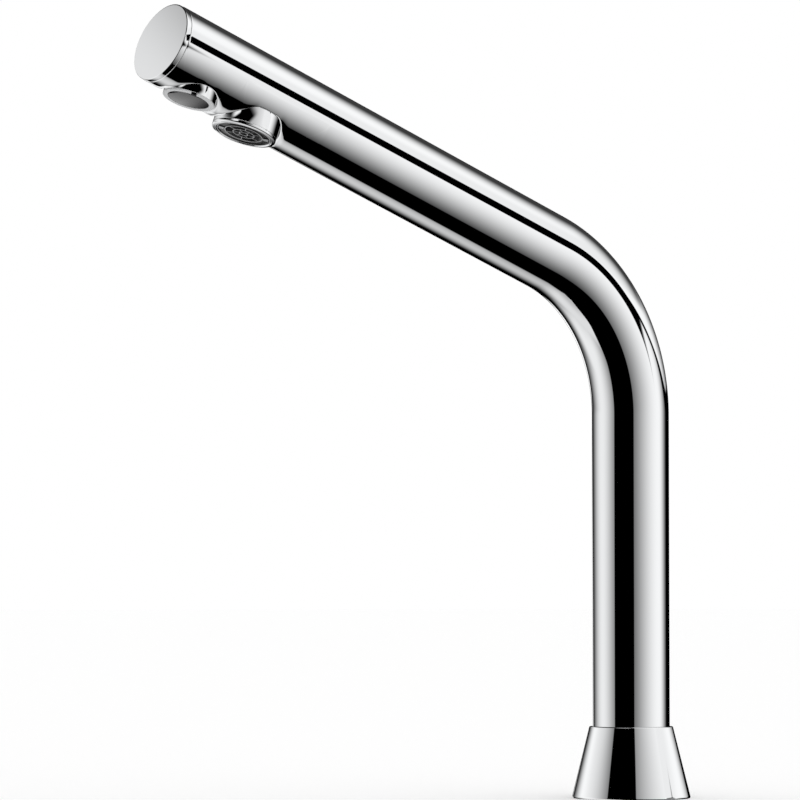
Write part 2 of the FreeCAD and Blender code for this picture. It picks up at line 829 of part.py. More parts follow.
def make_foot_block():
    """The brass block that fills the column's foot and takes the studs, the inlet and the cables."""
    spigot_radius = bore_radius - s.spigot_gap
    groove_inner = tube_radius + s.gasket_offset
    groove_outer = groove_inner + s.gasket_width + 2 * s.gasket_gap
    block = turned("foot_block_blank", [
        (0, 0),
        (groove_inner, 0),
        (groove_inner, s.gasket_height),
        (groove_outer, s.gasket_height),
        (groove_outer, 0),
        (flange_radius, 0),
        (flange_radius, s.flange_height),
        (spigot_radius, s.flange_height),
        (spigot_radius, s.foot_height),
        (0, s.foot_height),
    ])
    valve_y = -s.valve_offset
    strainer_seat = s.inlet_depth + s.strainer_flange_height + s.strainer_gap
    seat_radius = s.strainer_flange_diameter / 2 + s.strainer_gap
    spigot_bore = s.core_spigot_diameter / 2 + s.core_spigot_gap
    doc.recompute()
    drill(block, "inlet_thread", s.inlet_depth, s.inlet_depth, 0, valve_y, s.inlet_core_diameter / 2)
    drill(block, "strainer_seat", strainer_seat, strainer_seat, 0, valve_y, seat_radius)
    drill(block, "inlet_passage", s.foot_height, s.foot_height, 0, valve_y, s.inlet_passage_diameter / 2)
    drill(block, "valve_socket", s.foot_height, s.core_spigot_depth, 0, valve_y, spigot_bore)
    gland_radius = s.gland_diameter / 2 + s.gland_gap
    drill(block, "cable_hole", s.foot_height, s.foot_height, 0, cable_offset, gland_radius)
    for side, name in ((-1, "left"), (1, "right")):
        x = s.stud_spacing / 2 * side
        drill(block, f"stud_{name}", s.stud_hole_depth, s.stud_hole_depth, x, 0, s.stud_core_diameter / 2)
    start = tube_radius - s.grub_length - s.grub_inset
    tools = [
        grub_bar(f"foot_screw_hole_{index}", angle, start, s.grub_length + s.tube_wall)
        for index, angle in enumerate(grub_places(), start=1)
    ]
    part(cut("foot_block", block, tools))
    inner = groove_inner + s.gasket_gap
    part(ring("foot_gasket", inner, inner + s.gasket_width, 0, s.gasket_height))


def make_grub_screws():
    """The socket screws that hold the foot block in the column, as one group of like screws."""
    start = tube_radius - s.grub_length - s.grub_inset
    screws = []
    for index, angle in enumerate(grub_places(), start=1):
        blank = grub_bar(f"grub_blank_{index}", angle, start, s.grub_length)
        socket = doc.addObject("Part::Prism", f"grub_socket_{index}")
        socket.Polygon = 6
        bind(socket, {"Circumradius": s.grub_socket_width / math.sqrt(3), "Height": s.grub_length})
        socket.Placement = blank.Placement
        across = math.cos(math.radians(angle))
        along = math.sin(math.radians(angle))
        mouth = start + s.grub_length - s.grub_socket_depth
        bind(socket, {
            "Placement.Base.x": mouth * across,
            "Placement.Base.y": mouth * along,
            "Placement.Base.z": s.grub_height,
        })
        screws.append(cut(f"grub_screw_{index}", blank, [socket]))
    group = doc.addObject("Part::Compound", "column_grub_screws")
    group.Links = screws
    part(group)


def make_cable_gland():
    """The rubber plug in the foot that the two cables leave through."""
    gland = ring("cable_gland", 0, s.gland_diameter / 2, 0, s.gland_height)
    doc.recompute()
    for side, name in ((-1, "left"), (1, "right")):
        x = s.cable_spread / 2 * side
        radius = s.cable_diameter / 2 + s.cable_gap
        drill(gland, f"bore_{name}", s.gland_height, s.gland_height, x, 0, radius)
    part(stand(gland, y=cable_offset))


def make_inlet_strainer():
    """The cup strainer above the inlet thread, with slots round its basket."""
    flange_radius = s.strainer_flange_diameter / 2
    outer = s.strainer_basket_diameter / 2
    inner = outer - s.strainer_wall
    top = s.strainer_flange_height + s.strainer_basket_height
    strainer = turned("inlet_strainer", [
        (inner, 0),
        (flange_radius, 0),
        (flange_radius, s.strainer_flange_height),
        (outer, s.strainer_flange_height),
        (outer, top),
        (0, top),
        (0, top - s.strainer_wall),
        (inner, top - s.strainer_wall),
    ])
    doc.recompute()
    half = s.strainer_slot_width / 2
    reach = outer + s.strainer_gap
    low = inner - s.strainer_gap
    slot = pocket(
        strainer, "slot", top - 2 * s.strainer_wall, s.strainer_basket_height - 3 * s.strainer_wall,
        lambda sketch: draw_box(sketch, low, -half, reach, half),
    )
    repeat_round(strainer, slot, s.strainer_slot_count)
    part(stand_on_valve(strainer, s.inlet_depth))


def make_valve_core():
    """The steel core of the valve: spigot, flange and fixed pole, bored for the water."""
    spigot_radius = s.core_spigot_diameter / 2
    groove = spigot_radius - s.core_seal_section + s.core_spigot_gap
    groove_low = s.core_seal_height
    groove_high = groove_low + s.core_seal_section + 2 * s.seal_gap
    flange_low = s.core_spigot_depth
    flange_high = flange_low + s.core_flange_height
    pole_radius = s.guide_bore_diameter / 2 - s.guide_gap
    pole_top = flange_high + s.core_length
    pocket_radius = s.plunger_spring_diameter / 2 + s.plunger_spring_wire / 2 + s.spring_pocket_gap
    chamber_radius = s.check_chamber_diameter / 2
    passage_radius = s.core_passage_diameter / 2
    core = turned("valve_core", [
        (chamber_radius, 0),
        (spigot_radius, 0),
        (spigot_radius, groove_low),
        (groove, groove_low),
        (groove, groove_high),
        (spigot_radius, groove_high),
        (spigot_radius, flange_low),
        (frame_radius, flange_low),
        (frame_radius, flange_high),
        (pole_radius, flange_high),
        (pole_radius, pole_top),
        (pocket_radius, pole_top),
        (pocket_radius, pole_top - s.spring_pocket_depth),
        (passage_radius, pole_top - s.spring_pocket_depth),
        (passage_radius, s.check_chamber_depth),
        (chamber_radius, s.check_chamber_depth),
    ])
    part(stand_on_valve(core, valve_seat_level))
    middle_radius = spigot_radius + s.core_spigot_gap - s.core_seal_section / 2
    seal = torus("valve_core_seal", middle_radius, s.core_seal_section - s.seal_gap)
    part(stand_on_valve(seal, valve_seat_level + (groove_low + groove_high) / 2))


def make_check_valve():
    """The non-return valve in the core: a seat, a sprung poppet and the guide of its stem."""
    outer = s.check_chamber_diameter / 2 - s.check_gap
    stem_radius = s.check_stem_diameter / 2
    head_radius = s.check_head_diameter / 2
    seat = ring("check_seat", s.check_port_diameter / 2, outer, 0, s.check_seat_height)
    part(stand_on_valve(seat, valve_seat_level))
    poppet = turned("check_poppet", [
        (0, 0),
        (head_radius, 0),
        (head_radius, s.check_head_height),
        (stem_radius, s.check_head_height),
        (stem_radius, s.check_head_height + s.check_stem_length),
        (0, s.check_head_height + s.check_stem_length),
    ])
    part(stand_on_valve(poppet, valve_seat_level + s.check_seat_height))
    guide = ring("check_guide", stem_radius + s.check_stem_gap, outer, 0, s.check_guide_height)
    doc.recompute()
    port = drill(
        guide, "port", s.check_guide_height, s.check_guide_height,
        s.check_guide_port_circle / 2, 0, s.check_guide_port_diameter / 2,
    )
    repeat_round(guide, port, s.check_port_count)
    part(stand_on_valve(guide, valve_seat_level + s.check_guide_level))
    spring_low = s.check_seat_height + s.check_head_height
    spring = coil_spring(
        "check_spring", s.check_spring_diameter, s.check_spring_wire, s.check_spring_turns,
        s.check_guide_level - spring_low,
    )
    part(stand_on_valve(spring, valve_seat_level + spring_low + s.check_spring_wire / 2))


def make_guide_tube():
    """The thin steel tube that the plunger slides in."""
    tube = ring("guide_tube", s.guide_bore_diameter / 2, guide_outer_radius, 0, guide_length)
    part(stand_on_valve(tube, valve_base))


def make_plunger():
    """The sprung plunger that opens the valve: fluted for the water, with its seal and spring."""
    spring_outer = s.plunger_spring_diameter / 2 + s.plunger_spring_wire / 2
    pocket_radius = spring_outer + s.spring_pocket_gap
    seal_radius = s.plunger_seal_diameter / 2
    seal_bed = plunger_length + s.plunger_seal_proud - s.plunger_seal_height
    plunger = turned("plunger", [
        (pocket_radius, 0),
        (plunger_radius, 0),
        (plunger_radius, plunger_length),
        (seal_radius + s.plunger_seal_gap, plunger_length),
        (seal_radius + s.plunger_seal_gap, seal_bed),
        (0, seal_bed),
        (0, s.plunger_pocket_depth),
        (pocket_radius, s.plunger_pocket_depth),
    ])
    doc.recompute()
    flute = drill(
        plunger, "flute", plunger_length, plunger_length, plunger_radius, 0, s.plunger_flute_diameter / 2
    )
    repeat_round(plunger, flute, s.plunger_flute_count)
    part(stand_on_valve(plunger, plunger_base))
    seal = ring("plunger_seal", 0, seal_radius, 0, s.plunger_seal_height)
    part(stand_on_valve(seal, plunger_base + seal_bed))
    height = s.plunger_pocket_depth + s.plunger_lift + s.spring_pocket_depth
    spring = coil_spring(
        "plunger_spring", s.plunger_spring_diameter, s.plunger_spring_wire, s.plunger_spring_turns, height
    )
    spring_seat = valve_base + s.core_length - s.spring_pocket_depth
    part(stand_on_valve(spring, spring_seat + s.plunger_spring_wire / 2))


def make_coil():
    """The coil: its bobbin, its winding, the steel frame round them, the end plate and the terminal."""
    bore = guide_outer_radius + s.bobbin_gap
    barrel = bore + s.bobbin_wall
    flange = frame_radius - s.frame_wall - s.winding_gap
    top = s.bobbin_length
    bobbin = turned("coil_bobbin", [
        (bore, 0),
        (flange, 0),
        (flange, s.bobbin_flange),
        (barrel, s.bobbin_flange),
        (barrel, top - s.bobbin_flange),
        (flange, top - s.bobbin_flange),
        (flange, top),
        (bore, top),
    ])
    part(stand_on_valve(bobbin, bobbin_base))
    winding_inner = barrel + s.winding_inner_gap
    winding_outer = flange - s.winding_gap
    winding = ring("coil_winding", winding_inner, winding_outer, s.bobbin_flange, top - s.bobbin_flange)
    part(stand_on_valve(winding, bobbin_base))
    wall_radius = frame_radius - s.frame_wall
    wall_top = s.bobbin_length + 2 * s.frame_end
    frame = turned("coil_frame", [
        (frame_bore_radius, 0),
        (frame_radius, 0),
        (frame_radius, wall_top),
        (wall_radius, wall_top),
        (wall_radius, s.frame_end),
        (frame_bore_radius, s.frame_end),
    ])
    doc.recompute()
    lead_x = s.cable_spread / 2
    left = lead_x - s.terminal_width / 2 - s.window_gap
    right = lead_x + s.terminal_width / 2 + s.window_gap
    window_top = wall_top - s.frame_end - s.terminal_drop + s.window_gap
    window_height = s.terminal_height + 2 * s.window_gap
    pocket(
        frame, "window", window_top, window_height,
        lambda sketch: draw_box(sketch, left, wall_radius / 2, right, frame_radius + s.frame_wall),
    )
    part(stand_on_valve(frame, valve_base))
    plate = ring("coil_end_plate", frame_bore_radius, wall_radius - s.seal_gap, 0, s.frame_end)
    part(stand_on_valve(plate, bobbin_base + s.bobbin_length))
    terminal = doc.addObject("Part::Box", "coil_terminal")
    terminal_back = flange - s.winding_gap - s.valve_offset
    terminal_front = cable_offset + s.cable_diameter / 2
    terminal_base = bobbin_base + s.bobbin_length - s.terminal_drop - s.terminal_height
    bind(terminal, {
        "Length": s.terminal_width,
        "Width": terminal_front - terminal_back,
        "Height": s.terminal_height,
        "Placement.Base.x": lead_x - s.terminal_width / 2,
        "Placement.Base.y": terminal_back,
        "Placement.Base.z": terminal_base,
    })
    part(terminal)


def make_outlet_head():
    """The head on the guide tube: a nozzle that the plunger closes, and a barb for the water tube."""
    outer = frame_radius - s.head_step
    socket = guide_outer_radius + s.head_gap
    roof = valve_base + guide_length - frame_top
    nozzle_low = seat_level - frame_top
    nozzle = s.nozzle_diameter / 2
    bore = s.head_bore_diameter / 2
    groove = socket + s.head_seal_section + s.seal_gap
    groove_low = s.head_seal_height
    groove_high = groove_low + s.head_seal_section + 2 * s.seal_gap
    barb = s.barb_diameter / 2
    waist = barb - s.barb_groove
    first = s.head_height + s.barb_pitch
    top = s.head_height + s.barb_length
    outline = [
        (socket, 0),
        (outer, 0),
        (outer, s.head_height),
        (waist, s.head_height),
        (waist, first),
    ]
    for index in range(3):
        level = first + index * s.barb_pitch
        outline += [(barb, level), (waist, level + s.barb_pitch)]
    outline += [
        (waist, top),
        (bore, top),
        (bore, nozzle_low),
        (nozzle, nozzle_low),
        (nozzle, roof),
        (socket, roof),
        (socket, groove_high),
        (groove, groove_high),
        (groove, groove_low),
        (socket, groove_low),
    ]
    part(stand_on_valve(turned("outlet_head", outline), frame_top))
    seal = torus("head_seal", guide_outer_radius + s.head_seal_section / 2, s.head_seal_section - s.seal_gap)
    part(stand_on_valve(seal, frame_top + (groove_low + groove_high) / 2))


def make_cables():
    """The sensor's cable, whole from its gland to the sensor, and the coil's short lead."""
    radius = s.cable_diameter / 2
    corner, corner_radius = bend_corner(cable_offset)
    drop_station = s.sensor_station + s.cable_drop
    drop_level = cable_offset - s.cable_drop
    places = [
        (cable_offset, ZERO),
        corner,
        spout_point(drop_station, cable_offset),
        spout_point(s.sensor_station, drop_level),
        spout_point(s.sensor_station, -sensor_housing_top),
    ]
    cable = routed_tube("sensor_cable", -s.cable_spread / 2, places, corner_radius, radius)
    part(cable)
    lead_top = bobbin_base + s.bobbin_length - s.terminal_drop - s.terminal_height
    lead = cylinder("coil_lead", radius, lead_top)
    part(stand(lead, s.cable_spread / 2, cable_offset))


def make_water_tube():
    """The plastic tube that carries the water from the valve to the outlet block."""
    corner, corner_radius = bend_corner(-s.valve_offset)
    end_station = s.outlet_station + s.block_diameter / 2 + s.water_tube_seat_gap
    places = [
        (-s.valve_offset, head_top + s.water_tube_seat_gap),
        corner,
        spout_point(s.water_tube_lift_start, -s.valve_offset),
        spout_point(s.water_tube_lift_end, s.nipple_level),
        spout_point(end_station, s.nipple_level),
    ]
    tube = routed_tube(
        "water_tube", ZERO, places, corner_radius, s.water_tube_diameter / 2, s.water_tube_bore / 2
    )
    part(tube)
    inner = s.water_tube_diameter / 2 + s.clamp_gap
    lower = ring("clamp_lower", inner, inner + s.clamp_wall, 0, s.clamp_width)
    stand_on_valve(lower, head_top + s.clamp_inset)
    upper = ring("clamp_upper", inner, inner + s.clamp_wall, 0, s.clamp_width)
    hang_facing(upper, end_station + s.clamp_inset, s.nipple_level)
    group = doc.addObject("Part::Compound", "tube_clamps")
    group.Links = [lower, upper]
    part(group)


def make_outlet_block():
    """The brass block inside the spout that turns the water down, with a barb for the tube."""
    outer = s.block_diameter / 2
    socket = s.outlet_neck_diameter / 2 + s.block_socket_gap
    socket_top = s.outlet_washer_height - outlet_neck_top
    chamber = s.block_chamber_diameter / 2
    shell = turned("outlet_block_shell", [
        (socket, -block_floor),
        (outer, -block_floor),
        (outer, s.block_top),
        (0, s.block_top),
        (0, s.block_chamber_top),
        (chamber, s.block_chamber_top),
        (chamber, socket_top),
        (socket, socket_top),
    ])
    hang(shell, s.outlet_station)
    barb = s.barb_diameter / 2
    waist = barb - s.barb_groove
    bore = s.nipple_bore_diameter / 2
    start = chamber + s.nipple_inset
    root = s.block_diameter / 2
    end = root + s.barb_length
    outline = [(bore, start), (waist, start), (waist, root + s.barb_pitch)]
    for index in range(3):
        level = root + (index + 1) * s.barb_pitch
        outline += [(barb, level), (waist, level + s.barb_pitch)]
    outline += [(waist, end), (bore, end)]
    nipple = hang_facing(turned("outlet_block_nipple", outline), s.outlet_station, s.nipple_level)
    passage = hang_facing(cylinder("outlet_block_passage", bore, end), s.outlet_station, s.nipple_level)
    joined = doc.addObject("Part::Fuse", "outlet_block_joined")
    joined.Base = shell
    joined.Tool = nipple
    part(cut("outlet_block", joined, [passage]))
    washer = ring(
        "outlet_washer", s.outlet_neck_bore / 2, s.outlet_neck_diameter / 2 - s.outlet_washer_gap,
        -outlet_neck_top, socket_top,
    )
    part(hang(washer, s.outlet_station))


def make_outlet_barrel():
    """The chromed barrel under the spout: a neck into the block and a threaded mouth for the aerator."""
    mouth = s.outlet_mouth_diameter / 2
    bore = s.aerator_bore_diameter / 2
    neck = s.outlet_neck_diameter / 2
    line = outlet_radius - s.outlet_line_depth
    rim = -outlet_reach
    line_low = rim + s.outlet_line_height
    barrel = turned("outlet_barrel", [
        (mouth, rim),
        (outlet_radius - s.outlet_bevel, rim),
        (outlet_radius, rim + s.outlet_bevel),
        (outlet_radius, line_low),
        (line, line_low),
        (line, line_low + s.outlet_line_width),
        (outlet_radius, line_low + s.outlet_line_width),
        (outlet_radius, -outlet_floor),
        (neck, -outlet_floor),
        (neck, -outlet_neck_top),
        (s.outlet_neck_bore / 2, -outlet_neck_top),
        (s.outlet_neck_bore / 2, -aerator_ledge),
        (bore, -aerator_ledge),
        (bore, rim + s.outlet_mouth_bevel),
    ])
    part(hang(barrel, s.outlet_station))


def make_aerator():
    """The recessed aerator: washer, keyed housing, jet insert, flow regulator and screen."""
    station = s.outlet_station
    washer = ring(
        "aerator_washer", s.aerator_washer_bore / 2, aerator_radius, -aerator_top, -aerator_ledge
    )
    part(hang(washer, station))
    low = s.aerator_inset - outlet_reach
    shelf_low = low + s.aerator_step
    shelf_high = shelf_low + s.aerator_shelf_height
    inner = aerator_radius - s.aerator_ring_width
    housing = turned("aerator_housing", [
        (inner, low),
        (aerator_radius, low),
        (aerator_radius, -aerator_top),
        (inner, -aerator_top),
        (inner, shelf_high),
        (s.aerator_shelf_bore / 2, shelf_high),
        (s.aerator_shelf_bore / 2, shelf_low),
        (inner, shelf_low),
    ])
    doc.recompute()
    sketch = new_sketch(housing, "lug", "XY_Plane", low + s.insert_inset)
    half = s.lug_width / 2
    draw_box(sketch, -half, inner - s.lug_depth, half, inner + s.aerator_ring_width / 2)
    lug = housing.newObject("PartDesign::Pad", "aerator_housing_lug_pad")
    lug.Profile = sketch
    lug.setExpression("Length", (s.aerator_step - s.insert_inset).formula)
    repeat_round(housing, lug, s.lug_count)
    part(hang(housing, station))
    make_aerator_insert(shelf_high, inner)
    regulator_low = shelf_high + s.insert_height
    regulator = ring(
        "flow_regulator", 0, s.regulator_diameter / 2, regulator_low, regulator_low + s.regulator_height
    )
    doc.recompute()
    port = drill(
        regulator, "port", regulator_low + s.regulator_height, s.regulator_height,
        s.regulator_port_circle / 2, 0, s.regulator_port_diameter / 2,
    )
    repeat_round(regulator, port, s.regulator_port_count)
    part(hang(regulator, station))
    make_aerator_screen(regulator_low + s.regulator_height)


def make_aerator_insert(base, housing_bore):
    """The jet insert: concentric rings joined by spokes about a hub."""
    outer = housing_bore - s.aerator_gap
    rim_inner = s.aerator_shelf_bore / 2
    insert = ring("aerator_insert", rim_inner, outer, base, base + s.insert_height)
    doc.recompute()
    top = base + s.insert_height
    hub = s.insert_hub_diameter / 2
    half_ring = s.insert_ring_width / 2

    def pad(name, draw):
        sketch = new_sketch(insert, name, "XY_Plane", base)
        draw(sketch)
        feature = insert.newObject("PartDesign::Pad", f"aerator_insert_{name}_pad")
        feature.Profile = sketch
        feature.setExpression("Length", s.insert_height.formula)
        return feature

    half_spoke = s.insert_spoke_width / 2
    spoke = pad("spoke", lambda sketch: draw_box(sketch, ZERO, -half_spoke, rim_inner + half_ring, half_spoke))
    repeat_round(insert, spoke, s.insert_spoke_count)
    pad("hub", lambda sketch: draw_circle(sketch, 0, 0, hub))
    for index in range(1, int(s.insert_ring_count.number)):
        middle = hub + index * s.insert_ring_pitch

        def draw_ring(sketch, middle=middle):
            draw_circle(sketch, 0, 0, middle - half_ring)
            draw_circle(sketch, 0, 0, middle + half_ring)

        pad(f"ring_{index}", draw_ring)
    part(hang(insert, s.outlet_station))


def make_aerator_screen(base):
    """The slotted basket screen above the regulator."""
    outer = s.regulator_diameter / 2 - s.aerator_gap
    flange_top = base + s.screen_flange_height
    shoulder = outer - s.screen_wall
    top = base + s.screen_height
    crown = s.screen_top_diameter / 2
    screen = turned("aerator_screen", [
        (shoulder - s.screen_wall, base),
        (outer, base),
        (outer, flange_top),
        (shoulder, flange_top),
        (crown, top),
        (0, top),
        (0, top - s.screen_wall),
        (crown - s.screen_wall, top - s.screen_wall),
    ])
    doc.recompute()
    half = s.screen_slot_width / 2
    slot = pocket(
        screen, "slot", top + s.screen_wall, s.screen_height + s.screen_wall - s.screen_flange_height,
        lambda sketch: draw_box(sketch, crown + s.screen_wall, -half, shoulder - s.screen_wall, half),
    )
    repeat_round(screen, slot, s.screen_slot_count)
    part(hang(screen, s.outlet_station))


def make_sensor_barrel():
    """The chromed barrel of the sensor: a neck through the tube, and seats for the ring and the lens."""
    rim = s.sensor_ring_height - sensor_reach
    skirt_bore = s.lens_diameter / 2 + s.lens_gap + s.sensor_ring_skirt + s.lens_gap
    skirt_top = rim + s.sensor_ring_skirt_height + s.lens_gap
    seat_top = rim + s.lens_seat_depth
    seat_bore = s.lens_diameter / 2 + s.lens_gap / 2
    neck = s.sensor_neck_diameter / 2
    bore = s.sensor_bore_diameter / 2
    barrel = turned("sensor_barrel", [
        (skirt_bore, rim),
        (sensor_radius, rim),
        (sensor_radius, -sensor_floor),
        (neck, -sensor_floor),
        (neck, -sensor_neck_top),
        (bore, -sensor_neck_top),
        (bore, seat_top),
        (seat_bore, seat_top),
        (seat_bore, skirt_top),
        (skirt_bore, skirt_top),
    ])
    part(hang(barrel, s.sensor_station))
    nut = ring(
        "sensor_nut", neck + s.sensor_nut_gap, s.sensor_nut_diameter / 2,
        -sensor_inner_floor, s.sensor_nut_height - sensor_inner_floor,
    )
    part(hang(nut, s.sensor_station))


def make_sensor_face():
    """The matt ring round the lens with its key notch, the smoked lens and the seal behind it."""
    station = s.sensor_station
    rim = -sensor_reach
    ring_top = rim + s.sensor_ring_height
    inner = s.lens_diameter / 2 + s.lens_gap
    skirt = inner + s.sensor_ring_skirt
    face = turned("sensor_ring_blank", [
        (inner, rim),
        (sensor_radius, rim),
        (sensor_radius, ring_top),
        (skirt, ring_top),
        (skirt, ring_top + s.sensor_ring_skirt_height),
        (inner, ring_top + s.sensor_ring_skirt_height),
    ])
    notch = doc.addObject("Part::Box", "sensor_notch")
    notch.Placement.Rotation = FreeCAD.Rotation(FreeCAD.Vector(0, 0, 1), 1)
    across, along = cosine(s.sensor_notch_turn), sine(s.sensor_notch_turn)
    half = s.sensor_notch_width / 2
    start = skirt + s.lens_gap
    bind(notch, {
        "Length": sensor_radius,
        "Width": s.sensor_notch_width,
        "Height": s.sensor_ring_height * 3,
        "Placement.Base.x": start * across - half * along,
        "Placement.Base.y": -(start * along) - half * across,
        "Placement.Base.z": rim - s.sensor_ring_height,
        "Placement.Rotation.Angle": -s.sensor_notch_turn,
    })
    part(hang(cut("sensor_ring", face, [notch]), station))
    lens_top = rim + s.sensor_ring_height + s.lens_seat_depth - s.lens_seal_height
    lens = ring("sensor_lens", 0, s.lens_diameter / 2, rim + s.lens_inset, lens_top)
    part(hang(lens, station))
    seal_inner = s.sensor_bore_diameter / 2 + s.lens_seal_gap
    seal = ring("lens_seal", seal_inner, s.lens_diameter / 2, lens_top, lens_top + s.lens_seal_height)
    part(hang(seal, station))


def make_sensor_inside():
    """The sensor's black housing with its board, and the two eyes that look out through the lens."""
    station = s.sensor_station
    lens_top = s.sensor_ring_height + s.lens_seat_depth - s.lens_seal_height - sensor_reach
    outer = s.sensor_bore_diameter / 2 - s.sensor_housing_gap
    inner = outer - s.sensor_housing_wall
    top = -sensor_housing_top
    housing = turned("sensor_housing", [
        (inner, lens_top),
        (outer, lens_top),
        (outer, top),
        (0, top),
        (0, top - s.sensor_housing_roof),
        (inner, top - s.sensor_housing_roof),
    ])
    part(hang(housing, station))
    board_low = -board_level
    board = ring("sensor_board", 0, inner - s.board_gap, board_low, board_low + s.board_thickness)
    part(hang(board, station))
    eye = s.eye_diameter / 2
    base = s.eye_base_diameter / 2
    body_low = board_low - s.eye_base_height - s.eye_body_height
    for side, name in ((-1, "ir_emitter"), (1, "ir_receiver")):
        lamp = turned(name, [
            (0, board_low),
            (base, board_low),
            (base, board_low - s.eye_base_height),
            (eye, board_low - s.eye_base_height),
            (eye, body_low, -eye),
            (0, body_low - eye),
        ])
        part(hang(lamp, station + s.eye_spacing / 2 * side))


def write_nodes():
    """Checks every object of the document and writes each piece to its own file."""
    doc.recompute()
    for thing in doc.Objects:
        if "Invalid" in thing.State or "Error" in thing.State:
            raise RuntimeError(f"{thing.Name} did not build: {thing.State}")
    os.makedirs("parts", exist_ok=True)
    for thing in nodes:
        shape = thing.Shape
        if shape.isNull() or not shape.isValid() or shape.Volume <= 0:
            raise RuntimeError(f"{thing.Label} has no valid solid")
        shape.exportStep(f"parts/{thing.Label}.step")
        print(f"{thing.Label}: {len(shape.Solids)} solid, {shape.Volume / 1000:.3f} cm3")


make_body_tube()
make_end_cap()
make_base_collar()
make_foot_block()
make_grub_screws()
make_cable_gland()
make_inlet_strainer()
make_valve_core()
make_check_valve()
make_guide_tube()
make_plunger()
make_coil()
make_outlet_head()
make_cables()
make_water_tube()
make_outlet_block()
make_outlet_barrel()
make_aerator()
make_sensor_barrel()
make_sensor_face()
make_sensor_inside()
write_nodes()
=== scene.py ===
"""The looks of a sensor basin tap: chromed skins over its CAD solids, its finishes, its studio and camera.

Shapes are worked out in millimetres in the solids' own frame: +Z up, the spout towards -Y. A place on
the spout is given by x across it, s behind its face and n square to it, from its centre line.
"""
import json
import math

import bmesh
import bpy
import numpy as np
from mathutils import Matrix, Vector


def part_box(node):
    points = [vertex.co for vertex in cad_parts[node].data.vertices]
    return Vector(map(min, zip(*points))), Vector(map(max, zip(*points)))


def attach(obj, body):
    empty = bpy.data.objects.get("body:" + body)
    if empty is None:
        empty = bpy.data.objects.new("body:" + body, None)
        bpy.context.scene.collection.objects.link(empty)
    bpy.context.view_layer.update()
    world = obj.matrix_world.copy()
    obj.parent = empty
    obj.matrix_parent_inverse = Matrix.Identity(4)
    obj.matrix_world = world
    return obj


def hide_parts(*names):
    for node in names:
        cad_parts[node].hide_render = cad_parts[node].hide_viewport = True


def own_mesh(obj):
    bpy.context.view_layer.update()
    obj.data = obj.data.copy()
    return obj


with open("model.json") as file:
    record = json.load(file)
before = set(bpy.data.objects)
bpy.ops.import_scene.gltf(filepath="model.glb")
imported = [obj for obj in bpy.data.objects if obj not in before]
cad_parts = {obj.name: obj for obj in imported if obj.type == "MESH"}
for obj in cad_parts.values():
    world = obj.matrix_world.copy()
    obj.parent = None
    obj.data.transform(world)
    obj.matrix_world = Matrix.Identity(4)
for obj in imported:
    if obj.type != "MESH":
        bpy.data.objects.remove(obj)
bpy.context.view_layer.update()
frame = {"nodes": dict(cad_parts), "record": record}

MM = 0.001

# The bent tube
TUBE_RADIUS = 16.0
BORE_RADIUS = 14.5
BEND_RADIUS = 70.5
COLUMN_FOOT = 5.0
COLUMN_TOP = 158.5
SPOUT_ANGLE = math.radians(20.0)
SPOUT_LENGTH = 206.3
SEAM = 2.3
SPOUT_COS = math.cos(SPOUT_ANGLE)
SPOUT_SIN = math.sin(SPOUT_ANGLE)
BEND_END_Y = -BEND_RADIUS * (1 - SPOUT_SIN)
BEND_END_Z = COLUMN_TOP + BEND_RADIUS * SPOUT_COS

# The two recesses: station, wall radius, floor level, hole for the neck
OUTLET = {"station": 48.5, "wall": 13.3, "floor": 9.0, "hole": 10.2, "lip": 0.5}
SENSOR = {"station": 19.8, "wall": 10.85, "floor": 11.0, "hole": 8.4, "lip": 0.4}

# How the wall is drawn in beside a recess: its reach outside the lip, and its depth at the lip
DRAWN = (2.6, 0.45)
UNDRAWN = (1.0, 0.0)

# The power of the mean that blends both recesses' lips into the land between them
LAND_BLEND = 6

# Stations where one recess's grid meets the next and where the last ends, and the turn from the
# top of the tube to the grids' edges, in degrees
LAND = 32.9
ZONE_END = 76.0
FLANK = 100.0

# The end cap and the lens, with the rise of their crowns, and the middle and half width of the
# ring's notch in degrees
CAP_RADIUS = 15.85
CAP_CROWN = 0.12
LENS_RADIUS = 8.05
LENS_CROWN = 0.45
NOTCH = (113.0, 7.5)

# The springs: the joint that presses each together, wire, turns, travel with a hair to spare, and
# whether the lower end (0) or the upper end (1) stays
SPRINGS = {
    "plunger_spring": ("plunger_slide", 0.5, 5.0, 1.24, 0),
    "check_spring": ("check_slide", 0.4, 4.0, 2.03, 1),
}

# How many patches of wiping and handling a metre holds
PATCHES_PER_METRE = 90.0


def spout_place(x, s, n):
    """Points of the spout: along its line by the distance behind the face, then square to it by n."""
    along = SPOUT_LENGTH - s
    y = BEND_END_Y - along * SPOUT_COS + n * SPOUT_SIN
    z = BEND_END_Z + along * SPOUT_SIN + n * SPOUT_COS
    return np.stack(np.broadcast_arrays(x, y, z), axis=-1)


def upright_place(x, y, z):
    """Points of the upright pieces, in the row frame as they are."""
    return np.stack(np.broadcast_arrays(x, y, z), axis=-1)


